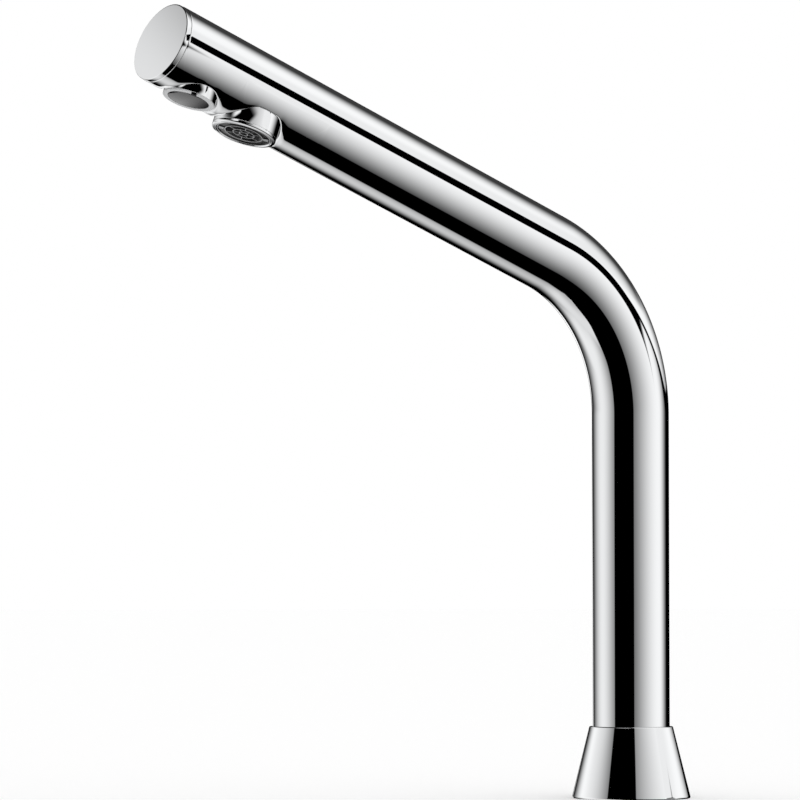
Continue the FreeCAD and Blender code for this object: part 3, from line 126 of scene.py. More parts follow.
def skin(name, grids, sharp=30.0):
    """One closed mesh out of grids of points that share their edges.

    Each grid gives a quad for every two neighbouring rows and columns. Shared edges are merged,
    faces are turned outwards, and edges sharper than an angle stay sharp.
    """
    places, quads, start = [], [], 0
    for grid in grids:
        rows, columns = grid.shape[:2]
        index = np.arange(rows * columns).reshape(rows, columns) + start
        corners = (index[:-1, :-1], index[1:, :-1], index[1:, 1:], index[:-1, 1:])
        quads.append(np.stack([corner.ravel() for corner in corners], axis=-1))
        places.append(grid.reshape(-1, 3))
        start += rows * columns
    mesh = bpy.data.meshes.new(name)
    mesh.from_pydata((np.concatenate(places) * MM).tolist(), [], np.concatenate(quads).tolist())
    work = bmesh.new()
    work.from_mesh(mesh)
    bmesh.ops.remove_doubles(work, verts=work.verts, dist=2e-7)
    bmesh.ops.dissolve_degenerate(work, edges=work.edges, dist=1e-7)
    bmesh.ops.recalc_face_normals(work, faces=work.faces)
    work.to_mesh(mesh)
    work.free()
    mesh.shade_smooth()
    mesh.set_sharp_from_angle(angle=math.radians(sharp))
    piece = bpy.data.objects.new(name, mesh)
    bpy.context.scene.collection.objects.link(piece)
    return piece


def rounded(outline, steps=7):
    """A closed outline with its corners rounded: each corner of radius c becomes an arc that is
    tangent to its two sides, drawn through points at even turns about its centre."""
    points = []
    count = len(outline)
    for i in range(count):
        here = np.array(outline[i][:2], float)
        radius = outline[i][2] if len(outline[i]) > 2 else 0.0
        if radius == 0.0:
            points.append(here[None, :])
            continue
        before = np.array(outline[i - 1][:2], float) - here
        after = np.array(outline[(i + 1) % count][:2], float) - here
        before /= np.linalg.norm(before)
        after /= np.linalg.norm(after)
        half = math.acos(np.clip(before @ after, -1, 1)) / 2
        middle = (before + after) / np.linalg.norm(before + after)
        centre = here + middle * radius / math.sin(half)
        first = here + before * radius / math.tan(half) - centre
        last = here + after * radius / math.tan(half) - centre
        t = np.linspace(0, 1, steps)[:, None]
        turn = math.pi - 2 * half
        points.append(centre + (np.sin((1 - t) * turn) * first + np.sin(t * turn) * last) / math.sin(turn))
    return np.concatenate(points)


def turned(name, outline, place, centre=(0.0, 0.0), sides=288):
    """A turned piece: a closed outline of radius and height, carried round its axis.

    A point at angle a is (radius sin a, radius cos a, height) from the centre, in the frame of place.
    """
    a = np.linspace(0, 2 * math.pi, sides + 1)
    loop = np.concatenate([outline, outline[:1]])
    radius, height = loop[:, 0, None], loop[:, 1, None]
    x = centre[0] + radius * np.sin(a)
    s = centre[1] + radius * np.cos(a)
    return skin(name, [place(x, s, np.broadcast_to(height, x.shape))])


def centre_line(length):
    """The tube's centre line by the distance from the column's foot: Y, Z and the turn of the bend."""
    straight = COLUMN_TOP
    bend = BEND_RADIUS * (math.pi / 2 - SPOUT_ANGLE)
    turn = np.clip(length - straight, 0, bend) / BEND_RADIUS
    along = np.maximum(length - straight - bend, 0)
    y = -BEND_RADIUS * (1 - np.cos(turn)) - along * SPOUT_COS
    z = np.minimum(length, straight) + BEND_RADIUS * np.sin(turn) + along * SPOUT_SIN
    return y, z, turn


def recess_table(tube, recess):
    """A recess's rounded lip, solved for every direction round the barrel.

    In the upright plane at angle a the tube's section is n = -sqrt(tube^2 - (r sin a)^2). A circle of
    the lip's radius inside the wall of metal touches that section at one end, and the recess's wall,
    floor or the corner between them at the other. The touching place is found by halving.
    """
    wall, floor, lip = recess["wall"], recess["floor"], recess["lip"]
    a = np.radians(np.arange(0, 360.25, 0.25))
    sine = np.maximum(np.abs(np.sin(a)), 1e-9)
    low = np.full(a.shape, wall * 0.4)
    high = np.minimum(tube * 0.99999 / sine, 40.0)
    for _ in range(60):
        touch = (low + high) / 2
        level = -np.sqrt(tube ** 2 - (touch * sine) ** 2)
        slope = touch * sine ** 2 / -level
        length = np.sqrt(1 + slope ** 2)
        r, n = touch - lip * slope / length, level + lip / length
        corner = np.hypot(r - wall, n + floor)
        gap = np.where(n < -floor, r - wall, np.where(r < wall, n + floor, corner))
        high = np.where(gap > lip, touch, high)
        low = np.where(gap > lip, low, touch)
    start = np.where((n >= -floor) & (r < wall), r, wall)
    foot = np.where(n < -floor, n, -floor)
    return {"angle": a, "touch": touch, "r": r, "n": n, "start": start, "foot": foot, "room": -floor - foot}


def looked_up(table, key, angle):
    """A value of a recess's table at an angle, straight between its neighbours."""
    return np.interp(np.mod(angle, 2 * math.pi), table["angle"], table[key])


def tube_level(tube, x):
    """The level of the tube's underside at x: minus the root of the radius squared less x squared."""
    return -np.sqrt(np.maximum(tube ** 2 - x ** 2, 0))


def drawn_in(table, angle, r, soft):
    """How far pressing drew the tube in beside a recess: a cubic that ends soft[0] outside the lip.

    At the lip it comes to soft[1], and it is scaled down where the wall leaves it little room.
    """
    reach = np.maximum(looked_up(table, "touch", angle) + soft[0] - r, 0) / soft[0]
    room = np.maximum(looked_up(table, "room", angle), 1e-9)
    return soft[1] * reach ** 3 * room / (room + 2 * soft[1])


def lift(recess, table, tube, soft, x, s):
    """How far a recess's lip lies above the plain tube's underside at points outside its wall."""
    r = np.hypot(x, s - recess["station"])
    angle = np.arctan2(x, s - recess["station"])
    middle, level = looked_up(table, "r", angle), looked_up(table, "n", angle)
    arc = level - np.sqrt(np.maximum(recess["lip"] ** 2 - (r - middle) ** 2, 0))
    height = np.where(r < looked_up(table, "touch", angle), arc - tube_level(tube, x), 0)
    return np.maximum(height, 0) + drawn_in(table, angle, r, soft)


def underside(tube, soft, recesses, tables, x, s):
    """The underside outside the recesses: the plain tube plus both lips, blended as a power mean."""
    lifts = [lift(recess, table, tube, soft, x, s) for recess, table in zip(recesses, tables)]
    total = sum(one ** LAND_BLEND for one in lifts) ** (1 / LAND_BLEND)
    return tube_level(tube, x) + total


def recess_grid(tube, soft, recesses, tables, which, border_x, border_s, steps):
    """A recess from the rim of its neck hole to the border of its stretch of tube.

    Every border point has a line to the barrel's axis. Along it run the floor, the wall, the lip's
    arc at even turns, and then the tube's underside, out to the border.
    """
    recess, table = recesses[which], tables[which]
    lip = recess["lip"]
    dx, ds = border_x, border_s - recess["station"]
    angle, reach = np.arctan2(dx, ds), np.hypot(dx, ds)
    start, foot = looked_up(table, "start", angle), looked_up(table, "foot", angle)
    middle, level = looked_up(table, "r", angle), looked_up(table, "n", angle)
    touch = np.minimum(looked_up(table, "touch", angle), reach * 0.999)
    t = np.linspace(0, 1, 6)[:, None]
    floor_r = recess["hole"] + (start - recess["hole"]) * t
    floor_n = np.full(floor_r.shape, -recess["floor"])
    wall_r = np.broadcast_to(start, t[1:].shape[:1] + start.shape)
    top = foot + drawn_in(table, angle, start, soft)
    wall_n = -recess["floor"] + (top + recess["floor"]) * t[1:]
    first = np.arccos(np.clip((start - middle) / lip, -1, 1))
    last = np.arccos(np.clip((touch - middle) / lip, -1, 1))
    t = np.linspace(0, 1, 17)[1:, None]
    arc_r = middle + lip * np.cos(first + (last - first) * t)
    out_r = touch + (reach - touch) * np.linspace(0, 1, steps)[1:, None] ** 1.5
    free_r = np.concatenate([arc_r, out_r])
    unit_x, unit_s = dx / reach, ds / reach
    free_n = underside(tube, soft, recesses, tables, free_r * unit_x, recess["station"] + free_r * unit_s)
    r = np.concatenate([floor_r, wall_r, free_r])
    n = np.concatenate([floor_n, wall_n, free_n])
    return spout_place(r * unit_x, recess["station"] + r * unit_s, n)


def tube_wall(tube, soft, recesses, foot_end, face_end, rows, columns, steps, turns):
    """One wall of the bent tube, outer or bore, as grids: a circle carried along the centre line, the
    upper part over the recesses, and a recess grid for each barrel. Turns counts the bend's rings."""
    top = np.radians(np.linspace(-FLANK, FLANK, rows))
    under = np.radians(np.linspace(FLANK, 360 - FLANK, rows))
    tables = [recess_table(tube, recess) for recess in recesses]
    borders = [(face_end, LAND), (LAND, ZONE_END)]
    stations = [np.linspace(low, high, columns) for low, high in borders]
    total = COLUMN_TOP + BEND_RADIUS * (math.pi / 2 - SPOUT_ANGLE) + SPOUT_LENGTH
    bend_end = total - SPOUT_LENGTH
    length = np.concatenate([
        np.linspace(foot_end, COLUMN_TOP, 5),
        np.linspace(COLUMN_TOP, bend_end, turns)[1:],
        np.linspace(bend_end, total - ZONE_END, 5)[1:],
    ])[:, None]
    around = np.concatenate([top, under[1:]])
    y, z, turn = centre_line(length)
    n = tube * np.cos(around)
    x = np.broadcast_to(tube * np.sin(around), (len(length), len(around)))
    grids = [upright_place(x, y + n * np.cos(turn), z + n * np.sin(turn))]
    s = np.concatenate([stations[0], stations[1][1:]])[:, None]
    grids.append(spout_place(tube * np.sin(top), s, tube * np.cos(top)))
    for which, (low, high) in enumerate(borders):
        side = stations[which]
        x = tube * np.concatenate([
            np.sin(under), np.full(len(side), math.sin(under[-1])),
            np.sin(under[::-1]), np.full(len(side), math.sin(under[0])),
        ])
        s = np.concatenate([np.full(len(under), low), side, np.full(len(under), high), side[::-1]])
        grids.append(recess_grid(tube, soft, recesses, tables, which, x, s, steps))
    return grids, around


def tube_end(radii, around, placings):
    """A flat or rounded end: circles of given radii, each in its own place, joined by quads."""
    rings = zip(radii, placings)
    return np.stack([placed(radius * np.sin(around), radius * np.cos(around)) for radius, placed in rings])


def bent_tube():
    """The bent tube with both walls, its ends, and the holes that the barrels' necks pass through."""
    bevel = 0.15
    outer_recesses = (SENSOR, OUTLET)
    inner_recesses = tuple(
        dict(recess, wall=recess["wall"] + 1.5, floor=recess["floor"] - 1.5, lip=0.4) for recess in outer_recesses
    )
    counts = {"foot_end": COLUMN_FOOT, "rows": 93, "columns": 51}
    outer, around = tube_wall(
        TUBE_RADIUS, DRAWN, outer_recesses, face_end=SEAM + bevel, steps=30, turns=73, **counts
    )
    inner, _ = tube_wall(BORE_RADIUS, UNDRAWN, inner_recesses, face_end=SEAM, steps=8, turns=25, **counts)
    t = np.linspace(0, math.pi / 2, 5)
    face_radii = np.append(TUBE_RADIUS - bevel + bevel * np.cos(t), BORE_RADIUS)
    face_stations = np.append(SEAM + bevel - bevel * np.sin(t), SEAM)
    face = tube_end(face_radii, around, [
        lambda x, n, s=s: spout_place(x, s, n) for s in face_stations
    ])
    foot = tube_end([TUBE_RADIUS, BORE_RADIUS], around, [
        lambda x, y: upright_place(x, y, np.full(x.shape, COLUMN_FOOT)) for _ in range(2)
    ])
    rims = [np.stack([outer[2 + i][0], inner[2 + i][0]]) for i in range(2)]
    return skin("tube", outer + inner + [face, foot] + rims)


def grille():
    """The jet insert: rings of square section, spokes between them, a hub and the two key lugs. Its
    outermost ring, grey at the housing's rim, is a painted highlight on that rim's edge.

    A ring is a square carried round the axis. A spoke or lug is a box whose sides follow two radii,
    from one turn to another, with its width set by the turn; all of it stands in the spout's frame.
    """
    station = OUTLET["station"]
    grids = []

    def band(inner, outer, low, high, first=0.0, last=360.0, sides=144):
        a = np.radians(np.linspace(first, last, sides + 1))
        square = np.array([(inner, low), (outer, low), (outer, high), (inner, high), (inner, low)])
        r, n = square[:, 0, None], square[:, 1, None]
        x, s = r * np.sin(a), station + r * np.cos(a)
        grids.append(spout_place(x, s, np.broadcast_to(n, x.shape)))
        if last - first < 360:
            for column in (0, -1):
                end = spout_place(x[:4, column], s[:4, column], np.array([low, low, high, high]))
                grids.append(np.stack([end[[0, 1]], end[[3, 2]]]))

    # Painted highlight: this thin grey ring at the housing's rim stands for the light caught on the rim's edge.
    band(10.5, 10.82, -17.35, -16.62)
    band(7.35, 7.75, -17.3, -14.8)
    band(4.1, 4.4, -17.25, -15.2)
    band(1.55, 1.85, -17.25, -15.2)
    for turn in np.arange(0, 360, 60.0):
        band(4.42, 7.33, -17.2, -15.2, turn - 1.3, turn + 1.3, 4)
        band(1.87, 4.08, -17.2, -15.2, turn + 28, turn + 32, 4)
    for turn in (36.0, 216.0):
        band(7.97, 10.0, -17.3, -16.62, turn - 8, turn + 8, 12)
    return skin("grille", grids)


def notched_ring():
    """The matt ring round the lens: its section carried round the axis, but for the key notch."""
    section = rounded([
        (8.3, -15.8, 0.08), (10.25, -15.8, 0.1), (10.25, -15.22), (8.9, -15.22), (8.9, -14.3), (8.3, -14.3),
    ], 5)
    section = np.concatenate([section, section[:1]])
    a = np.radians(np.linspace(NOTCH[0] + NOTCH[1], NOTCH[0] + 360 - NOTCH[1], 281))
    r, n = section[:, 0, None], section[:, 1, None]
    x, s = r * np.sin(a), SENSOR["station"] + r * np.cos(a)
    grids = [spout_place(x, s, np.broadcast_to(n, x.shape))]
    middle = section[:-1].mean(axis=0)
    for turn in (a[0], a[-1]):
        r, n = np.stack([section, np.broadcast_to(middle, section.shape)]).transpose(2, 0, 1)
        grids.append(spout_place(r * np.sin(turn), SENSOR["station"] + r * np.cos(turn), n))
    return skin("ring", grids)


def coil_spring(node, wire, turns):
    """A compression spring in the place of its CAD node: a circle of wire carried up a helix.

    At turn a the wire's middle is (radius sin a, radius cos a, low + pitch a). Its circle is spanned by
    the outward line and the line square to that and to the helix. Both cut ends are closed.
    """
    low, high = (np.array(corner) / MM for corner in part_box(node))
    radius = (high[0] - low[0] - wire) / 2
    a = np.linspace(0, 2 * math.pi * turns, int(48 * turns) + 1)[:, None]
    pitch = (high[2] - low[2] - wire) / a[-1, 0]
    centre = np.concatenate([radius * np.sin(a), radius * np.cos(a), pitch * a], axis=-1)
    centre += np.array([(low[0] + high[0]) / 2, (low[1] + high[1]) / 2, low[2] + wire / 2])
    outward = np.concatenate([np.sin(a), np.cos(a), 0 * a], axis=-1)
    square = np.concatenate([-pitch * np.cos(a), pitch * np.sin(a), radius + 0 * a], axis=-1)
    square /= math.hypot(radius, pitch)
    b = np.linspace(0, 2 * math.pi, 25)[None, :, None]
    tube = centre[:, None] + wire / 2 * (np.cos(b) * outward[:, None] + np.sin(b) * square[:, None])
    ends = [np.stack([tube[i], np.broadcast_to(centre[i], tube[i].shape)]) for i in (0, -1)]
    return skin(node + "_wire", [tube] + ends)


def make_pieces():
    """The pieces made here, each standing for the CAD node that it is named after."""
    pieces = {"body_tube": bent_tube()}
    for node, (_, wire, turns, _, _) in SPRINGS.items():
        pieces[node] = coil_spring(node, wire, turns)
    pieces["base_collar"] = turned("collar", rounded([
        (21.3, 0.0), (24.15, 0.0, 0.1), (24.55, 0.4, 0.3), (24.405, 0.984), (17.445, 29.016),
        (17.3, 29.6, 0.45), (16.12, 29.6, 0.15), (16.12, 5.3), (21.3, 5.3),
    ]), upright_place)
    face = [(r, CAP_CROWN * (r / CAP_RADIUS) ** 2) for r in np.linspace(0.0, 15.3, 18)]
    pieces["end_cap"] = turned("cap", rounded(face + [
        (CAP_RADIUS, CAP_CROWN, 0.35), (CAP_RADIUS, SEAM, 0.12), (14.4, SEAM), (14.4, 6.7), (11.6, 6.7),
        (11.6, SEAM), (0.0, SEAM),
    ]), lambda x, n, s: spout_place(x, s, n))
    pieces["outlet_barrel"] = turned("outlet", rounded([
        (11.25, -17.72, 0.2), (12.8, -17.38, 0.55), (12.8, -16.3, 0.03), (12.6, -16.3, 0.03), (12.6, -16.08, 0.03),
        (12.8, -16.08, 0.03), (12.8, -9.0), (10.0, -9.0), (10.0, -3.5), (8.5, -3.5), (8.5, -10.5), (10.9, -10.5),
        (10.9, -16.7, 0.1),
    ]), spout_place, (0.0, OUTLET["station"]))
    pieces["sensor_barrel"] = turned("sensor", rounded([
        (10.05, -15.2), (10.25, -15.2, 0.05), (10.25, -11.0), (8.2, -11.0), (8.2, -5.5), (7.0, -5.5), (7.0, -13.6),
        (8.2, -13.6), (8.2, -14.2), (9.1, -14.2), (9.1, -13.4), (10.05, -13.4),
    ]), spout_place, (0.0, SENSOR["station"]))
    radius = np.linspace(0.0, LENS_RADIUS, 24)
    crown = -15.62 - LENS_CROWN * (1 - (radius / LENS_RADIUS) ** 2)
    pieces["sensor_lens"] = turned("lens", np.concatenate([
        np.stack([radius, crown], axis=-1), [(LENS_RADIUS, -14.3), (0.0, -14.3)],
    ]), spout_place, (0.0, SENSOR["station"]))
    pieces["sensor_ring"] = notched_ring()
    pieces["aerator_housing"] = turned("housing", rounded([
        (7.95, -16.6), (10.85, -16.6, 0.05), (10.85, -10.6), (10.0, -10.6), (10.0, -12.7), (7.95, -12.7),
    ]), spout_place, (0.0, OUTLET["station"]))
    pieces["aerator_insert"] = grille()
    return pieces


def linear(hex_colour):
    """An sRGB hex colour as linear red, green, blue and alpha."""
    channels = [int(hex_colour[i:i + 2], 16) / 255 for i in (0, 2, 4)]
    return [c / 12.92 if c <= 0.04045 else ((c + 0.055) / 1.055) ** 2.4 for c in channels] + [1.0]


def add(tree, kind, inputs=None, **settings):
    """Adds a node: its settings by name, and its inputs by socket as values or as other nodes' outputs."""
    node = tree.nodes.new(kind)
    for name, value in settings.items():
        setattr(node, name, value)
    for socket, value in (inputs or {}).items():
        if isinstance(value, bpy.types.NodeSocket):
            tree.links.new(value, node.inputs[socket])
        else:
            node.inputs[socket].default_value = value
    return node


def finish(name, colour, roughness, metallic=0.0, ior=1.5, grain=0.5, spread=0.03, bump=0.02, mottle=0.0,
           run=(1.0, 1.0, 1.0)):
    """A finish with grain of a size and a height in millimetres, and a roughness that wanders by spread.

    Patches of about 11 mm carry the wander and the mottle, as wiping and handling leave them. Run
    stretches the grain along the axes where it is below 1, as turning, drawing and winding do.
    """
    material = bpy.data.materials.new(name)
    material.use_nodes = True
    tree = material.node_tree
    shader = tree.nodes["Principled BSDF"]
    shader.inputs["Base Color"].default_value = linear(colour)
    shader.inputs["Metallic"].default_value = metallic
    if metallic == 0.0:
        shader.inputs["IOR"].default_value = ior
    place = add(tree, "ShaderNodeTexCoord").outputs["Object"]
    grained = add(tree, "ShaderNodeMapping", {"Vector": place, "Scale": run}).outputs["Vector"]
    noise = add(tree, "ShaderNodeTexNoise", {"Vector": grained, "Scale": 1 / (grain * MM), "Detail": 3.0})
    wander = add(tree, "ShaderNodeTexNoise", {"Vector": place, "Scale": PATCHES_PER_METRE, "Detail": 4.0})
    rough = add(tree, "ShaderNodeMapRange", {
        "Value": wander.outputs["Fac"], "From Min": 0.3, "From Max": 0.7,
        "To Min": max(roughness - spread, 0.0), "To Max": roughness + spread,
    })
    tree.links.new(rough.outputs["Result"], shader.inputs["Roughness"])
    relief = add(tree, "ShaderNodeBump", {
        "Strength": 1.0, "Distance": bump * MM, "Height": noise.outputs["Fac"],
    })
    tree.links.new(relief.outputs["Normal"], shader.inputs["Normal"])
    if mottle:
        shade = add(tree, "ShaderNodeHueSaturation", {"Color": linear(colour)})
        value = add(tree, "ShaderNodeMapRange", {
            "Value": wander.outputs["Fac"], "From Min": 0.3, "From Max": 0.7,
            "To Min": 1 - mottle, "To Max": 1 + mottle,
        })
        tree.links.new(value.outputs["Result"], shade.inputs["Value"])
        tree.links.new(shade.outputs["Color"], shader.inputs["Base Color"])
    return material


def paint_wall_shade(material, painted_shade_colour):
    """Keeps a finish's colour on faces along the outlet's axis and paints its upright walls darker as painted shade.
    """
    tree = material.node_tree
    shader = tree.nodes["Principled BSDF"]
    geometry = add(tree, "ShaderNodeNewGeometry")
    axis = add(tree, "ShaderNodeVectorMath", {
        0: geometry.outputs["True Normal"], 1: (0.0, -SPOUT_SIN, -SPOUT_COS),
    }, operation="DOT_PRODUCT")
    facing = add(tree, "ShaderNodeMapRange", {"Value": axis.outputs["Value"], "From Min": 0.5, "From Max": 0.9})
    mixed = add(tree, "ShaderNodeMix", {"Factor": facing.outputs["Result"]}, data_type="RGBA")
    colour = shader.inputs["Base Color"]
    # Painted shade: the upright walls take this near-black colour for the shade in their depth.
    mixed.inputs[6].default_value = linear(painted_shade_colour)
    if colour.links:
        tree.links.new(colour.links[0].from_socket, mixed.inputs[7])
    else:
        mixed.inputs[7].default_value = list(colour.default_value)
    tree.links.new(mixed.outputs[2], colour)
    return material


def make_finishes():
    """The finishes by the record's slot names. Inside the tap grain is drawn coarse enough to show."""
    rings = (0.02, 0.02, 1.0)
    return {
        # Brass, buffed and then plated with bright nickel and chromium: a cool mirror. The last
        # buffing is too fine to see and only softens the edges of what it mirrors; wiping leaves
        # patches that are a little duller.
        "polished_chrome": finish("chrome_plated_brass", "F3F4F5", 0.014, metallic=1.0, grain=0.2, spread=0.008,
                                  bump=0.0002),
        # Free-cutting brass straight from the lathe: warm yellow, with tool rings 0.25 mm apart.
        "turned_brass": finish("turned_brass", "CDB27A", 0.3, metallic=1.0, grain=0.25, bump=0.01, mottle=0.05,
                               run=rings),
        # Stainless wire and sheet, drawn and rolled: satin grey with fine lines along the draw.
        "stainless_steel": finish("drawn_stainless_steel", "B9B9B6", 0.28, metallic=1.0, grain=0.2, bump=0.006,
                                  mottle=0.04, run=(1.0, 1.0, 0.05)),
        # Enamelled copper wire of 0.3 mm, machine wound: reddish, ribbed by its turns.
        "copper_winding": finish("enamelled_copper_wire", "B5713F", 0.3, metallic=1.0, grain=0.3, bump=0.05,
                                 mottle=0.06, run=rings),
        # Nitrile rubber moulded against a blasted tool: matt black with a faint bloom.
        "black_rubber": finish("moulded_nitrile_rubber", "1B1B1C", 0.6, ior=1.52, grain=0.3, bump=0.012, mottle=0.1),
        # Acetal, injection moulded: milky white with a soft sheen.
        "white_plastic": finish("moulded_white_acetal", "E4E4E0", 0.4, ior=1.48, grain=0.4, bump=0.008, mottle=0.02),
        # Cross-linked polyethylene, extruded: waxy and bluish, with slow ripples along the tube.
        "tube_plastic": finish("extruded_polyethylene", "DCE4E8", 0.35, ior=1.51, grain=1.5, bump=0.02, mottle=0.02,
                               run=(1.0, 1.0, 0.2)),
        # ABS moulded in a spark-eroded tool: black that catches a soft light on a 0.15 mm texture.
        "black_plastic": finish("moulded_black_abs", "101011", 0.38, ior=1.54, grain=0.15, bump=0.004, mottle=0.1),
        # Acetal, injection moulded: mid-grey rims, the outermost of them a painted highlight at the housing's rim.
        # Its upright walls stand in their own depth, so they are painted near black as painted shade.
        "grille_plastic": paint_wall_shade(
            finish("moulded_grey_acetal", "8E8F90", 0.35, ior=1.48, grain=0.15, bump=0.004, mottle=0.04), "0C0C0D"
        ),
        # ABS moulded in a blasted tool: an even, light, matt grey without gloss at its edges.
        "grey_ring_plastic": finish("moulded_grey_abs", "BDBEBF", 0.5, ior=1.54, grain=0.12, bump=0.006, mottle=0.03),
        # Acrylic with a smoke dye, from a polished mould: near black, glossy, and clear to infrared.
        "smoked_lens": finish("smoked_acrylic", "141416", 0.06, ior=1.49, grain=0.3, spread=0.02, bump=0.0004,
                              mottle=0.1),
        # PVC, extruded over the cable's cores: dull black, a little wavy along its length.
        "cable_sheath": finish("extruded_black_pvc", "1D1D1E", 0.5, ior=1.53, grain=1.0, bump=0.015, mottle=0.1,
                               run=(1.0, 1.0, 0.2)),
        # Glass-epoxy laminate under a green solder mask: smooth, with the weave just felt at 0.4 mm.
        "circuit_board": finish("masked_glass_epoxy", "1E6E3F", 0.35, ior=1.55, grain=0.4, bump=0.01, mottle=0.08),
        # Epoxy cast round the diodes with a violet-black dye: glossy and smooth.
        "eye_plastic": finish("cast_tinted_epoxy", "2B2833", 0.12, ior=1.55, grain=0.3, bump=0.001, mottle=0.05),
    }


def make_floor():
    """A pale floor that keeps the tap's soft shadow and is not mirrored in the chrome."""
    size = 40.0
    mesh = bpy.data.meshes.new("floor")
    mesh.from_pydata(
        [(-size, -size, 0), (size, -size, 0), (size, size, 0), (-size, size, 0)], [], [(0, 1, 2, 3)]
    )
    floor = bpy.data.objects.new("floor", mesh)
    bpy.context.scene.collection.objects.link(floor)
    material = bpy.data.materials.new("floor_paper")
    material.use_nodes = True
    shader = material.node_tree.nodes["Principled BSDF"]
    shader.inputs["Base Color"].default_value = linear("FFFFFF")
    shader.inputs["Roughness"].default_value = 1.0
    shader.inputs["Specular IOR Level"].default_value = 0.0
    mesh.materials.append(material)
    floor.visible_glossy = False


def card(name, corners, shader):
    """A card of the studio near the tip, given by its four corners in millimetres. Only mirrors show it."""
    mesh = bpy.data.meshes.new(name)
    mesh.from_pydata((np.array(corners) * MM).tolist(), [], [(0, 1, 2, 3)])
    piece = bpy.data.objects.new(name, mesh)
    bpy.context.scene.collection.objects.link(piece)
    material = bpy.data.materials.new(name)
    material.use_nodes = True
    tree = material.node_tree
    tree.nodes.clear()
    add(tree, "ShaderNodeOutputMaterial", {"Surface": shader(tree)})
    mesh.materials.append(material)
    piece.visible_camera = False
    piece.visible_diffuse = False
    piece.visible_shadow = False
    piece.visible_transmission = False


def make_cards():
    """The cards at the tip, as studios use for chrome: a black flag right, a white card left and low.

    The flag gives both barrels their dark fronts and fades out at its lower edge and both ends. The
    white card lies where the flat rims and the lens mirror it: it fades across the lens and sets in
    again for the outlet's rim. A lit strip in front of the batten keeps the outlet's flank bright; in
    the spout it matches the lamp behind it.
    """
    def place(tree):
        axes = add(tree, "ShaderNodeSeparateXYZ", {0: add(tree, "ShaderNodeTexCoord").outputs["Object"]})
        return [Reading(tree, axes.outputs[axis]) for axis in "YZ"]

    def shown(tree, part, shader):
        clear = add(tree, "ShaderNodeBsdfTransparent").outputs[0]
        return add(tree, "ShaderNodeMixShader", {0: part.socket, 1: clear, 2: shader}).outputs[0]

    def black(tree):
        dark = add(tree, "ShaderNodeBsdfDiffuse", {"Color": (0.0, 0.0, 0.0, 1.0)}).outputs[0]
        y, z = place(tree)
        part = smooth(y, -0.305, -0.290) * smooth(y + (z - 0.284) * 1.2, -0.199, -0.216)
        return shown(tree, part * smooth(z, 0.279, 0.286), dark)

    def white(tree):
        light = add(tree, "ShaderNodeEmission", {"Color": (0.95, 0.95, 0.95, 1.0), "Strength": 1.0}).outputs[0]
        y = place(tree)[0]
        return shown(tree, smooth(y, -0.190, -0.209) + smooth(y, -0.1915, -0.188), light)

    def lit(tree):
        light = add(tree, "ShaderNodeEmission", {"Color": (0.92, 0.92, 0.92, 1.0), "Strength": 1.0}).outputs[0]
        y, z = place(tree)
        top = z + (y + 0.166) * 0.364
        return shown(tree, smooth(y, -0.186, -0.180) * smooth(top, 0.2795, 0.2785) * smooth(top, 0.262, 0.266), light)

    card("black_flag", [(59, -305, 270), (59, -170, 270), (59, -170, 345), (59, -305, 345)], black)
    card("white_card", [(-46, -218, 233.4), (-46, -172, 218.6), (-46, -172, 255.1), (-46, -218, 279.7)], white)
    card("lit_strip", [(59.5, -187, 267), (59.5, -140, 250), (59.5, -140, 272), (59.5, -187, 289)], lit)


def make_camera():
    """The camera of the photograph: its place, its turn and tilt, and its long lens in pixels."""
    image_width, focal_length = 800.0, 4296.6
    lens = bpy.data.cameras.new("camera")
    lens.sensor_width = 36.0
    lens.lens = focal_length * lens.sensor_width / image_width
    lens.clip_end = 100.0
    camera = bpy.data.objects.new("camera", lens)
    camera.location = (1.3349, -1.1910, 0.0807)
    camera.rotation_euler = (math.radians(90 + 2.703), 0.0, math.radians(51.332))
    bpy.context.scene.collection.objects.link(camera)
    bpy.context.scene.camera = camera


class Reading:
    """A number in a node tree. Each sign written with it adds the Math node that reckons it."""

    def __init__(self, tree, socket):
        self.tree, self.socket = tree, socket

    def reckon(self, operation, *values):
        values = [value.socket if isinstance(value, Reading) else value for value in values]
        node = add(self.tree, "ShaderNodeMath", dict(enumerate(values)), operation=operation)
        return Reading(self.tree, node.outputs[0])

    def __add__(self, other):
        return self.reckon("ADD", self, other)

    def __sub__(self, other):
        return self.reckon("SUBTRACT", self, other)

    def __rsub__(self, other):
        return self.reckon("SUBTRACT", other, self)

    def __mul__(self, other):
        return self.reckon("MULTIPLY", self, other)

    def __pow__(self, other):
        return self.reckon("POWER", self, other)

    __radd__, __rmul__ = __add__, __mul__


def least(reading, other):
    """The smaller of a reading and another value."""
    return reading.reckon("MINIMUM", reading, other)


def most(reading, other):
    """The larger of a reading and another value."""
    return reading.reckon("MAXIMUM", reading, other)


def smooth(reading, low, high):
    """A soft step: 0 at low, 1 at high, easing in and out; low may be the larger of the two."""
    t = least(most((reading - low) * (1 / (high - low)), 0), 1)
    return t * t * (3 - 2 * t)


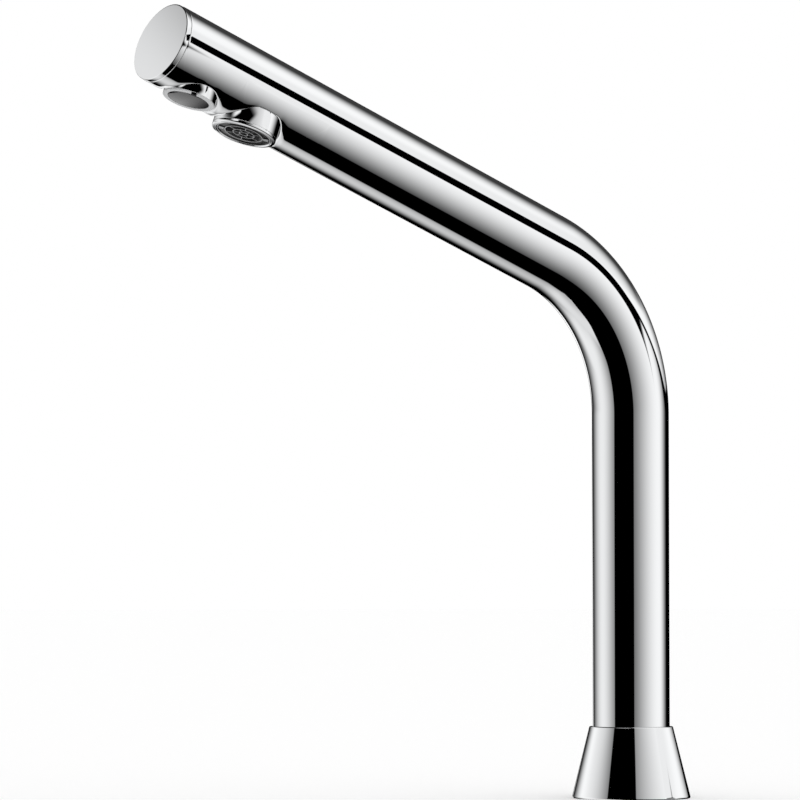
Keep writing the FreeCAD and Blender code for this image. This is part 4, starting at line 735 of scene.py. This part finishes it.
def soft_boxes(az, el):
    """How bright the studio is in a direction, by its turn and height in degrees.

    Turn 0 looks along the spout, towards -Y, and 90 towards +X, which is called right here. A key
    light stands left with a sharp edge at the spout's line, over a bright ground card. A big lamp
    stands right and behind, parted by a thin black batten from the lamp above it. A small window
    stands behind on the left, and a short lamp hangs high in front. All else is black.
    """
    rear = az + 360 * (1 - smooth(az, -0.01, 0.01))
    # Left: a key light over a ground card, both cut off at the spout's line and behind
    low = most(-50 - el, 0) ** 2 * 0.055
    inner = 8 * smooth(el, -30, -58) + most(-60 - el, 0) ** 2 * 0.1
    side = smooth(az + inner, -0.4, -2.2) * smooth(az - low, -164, -152) * smooth(el, -82.2, -80.8)
    turned = least(most(el, 0), 12) * 1.6 + least(most(-20 - el, 0), 20) * 1.3
    key = 0.92 * smooth(az + turned, -104, -46) * smooth(az, 23, -45)
    key = key * (1 - 0.42 * smooth(el, -35, -80)) * smooth(el, 33.4, 26.6)
    key = key * (1 + 0.14 * smooth(el, 4, 14)) * (1 - 0.22 * smooth(el, 12, 19))
    ground = 0.8 * smooth(el, -27, -58) * (1 - 0.4 * smooth(el, -62, -82))
    ground = ground * (0.5 + 0.5 * smooth(az, -145, -102))
    left = side * most(key, ground)
    # The window, a soft round
    window = 1.15 * smooth(((az + 114) ** 2 + (el + 6) ** 2) ** 0.5, 9, 6)
    # The big lamp, brighter towards the rear, inside a round of 60 degrees below the horizon
    sweep = (1.02 * smooth(az, 29, 140)) ** (1 - 0.012 * most(el, 0))
    reach = ((rear - 118) ** 2 + (least(el, 0) * 0.97) ** 2) ** 0.5
    right = sweep * smooth(el, -74, 1) * smooth(reach, 60.6, 59) * smooth(rear, 182, 142)
    right = right * smooth(az, -0.01, 0.01)
    # The batten: its middle's height and half its width, and how it widens to the front
    batten = 3 + 7.7 * smooth(rear, 192, 148)
    half = 1.3 + 0.8 * smooth(rear, 158, 176)
    widening = least(most(147 - rear, 0), 15)
    under = batten - half - 0.42 * widening
    over = least(batten + half + 0.65 * widening, 17.4)
    right = right * (1 - smooth(el - under, -0.4, 0.4) * smooth(rear + smooth(el, 17.5, 20), 121, 124))
    # The lamp above the batten, which fades towards the rear
    move = 13 * smooth(el, 17.5, 14.5) + 0.38 * most(el - 20, 0)
    back = 0.88 + 0.12 * (smooth(el, 26, 34) + smooth(el, 18, 13))
    back = (back * smooth(rear - move, 198, 154) + 0.045) * smooth(el - over, -0.4, 0.4)
    back = back * smooth(rear, 120, 123) * smooth(rear, 250, 246)
    # The short lamp, high in front
    high = 0.95 * smooth(el, 31, 32.5) * smooth(el, 46, 43) * smooth(az, 55, 34) * smooth(az, -8, 16)
    return left + window + right + back + high


def make_studio():
    """The studio: a white surround for the eye, and soft boxes with dark gaps for the chrome."""
    world = bpy.data.worlds.new("studio")
    bpy.context.scene.world = world
    world.use_nodes = True
    tree = world.node_tree
    tree.nodes.clear()
    way = add(tree, "ShaderNodeTexCoord").outputs["Generated"]
    axes = add(tree, "ShaderNodeSeparateXYZ", {0: way})
    x, y, z = (Reading(tree, axes.outputs[axis]) for axis in "XYZ")
    az = x.reckon("ARCTAN2", x, y * -1) * math.degrees(1)
    el = z.reckon("ARCSINE", z) * math.degrees(1)
    path = add(tree, "ShaderNodeLightPath")
    mirrored = add(tree, "ShaderNodeMath", {
        0: path.outputs["Is Glossy Ray"], 1: path.outputs["Is Transmission Ray"],
    }, operation="MAXIMUM")
    surround = add(tree, "ShaderNodeMix", {"Factor": mirrored.outputs[0]}, data_type="FLOAT")
    surround.inputs[2].default_value = 1.0
    tree.links.new(soft_boxes(az, el).socket, surround.inputs[3])
    light = add(tree, "ShaderNodeBackground", {"Color": surround.outputs[0], "Strength": 1.0})
    add(tree, "ShaderNodeOutputWorld", {"Surface": light.outputs["Background"]})
    world.cycles.sampling_method = "NONE"


finishes = make_finishes()
slots = {entry["node"]: entry["material_slot"] for entry in frame["record"]["subparts"]}
pieces = make_pieces()
for piece in list(frame["nodes"].values()) + list(pieces.values()):
    # As in the photograph, the chrome mirrors the studio alone. Real neighbours would show in it.
    piece.visible_glossy = False
for node, piece in frame["nodes"].items():
    piece.data.materials.clear()
    piece.data.materials.append(finishes[slots[node]])
for node, piece in pieces.items():
    piece.data.materials.append(finishes[slots[node]])
    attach(piece, "tap")
    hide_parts(node)
for node, (joint, _, _, travel, fixed) in SPRINGS.items():
    low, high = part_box(node)
    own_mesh(pieces[node])
make_floor()
make_cards()
make_camera()
make_studio()
bpy.context.scene.view_settings.view_transform = "Standard"
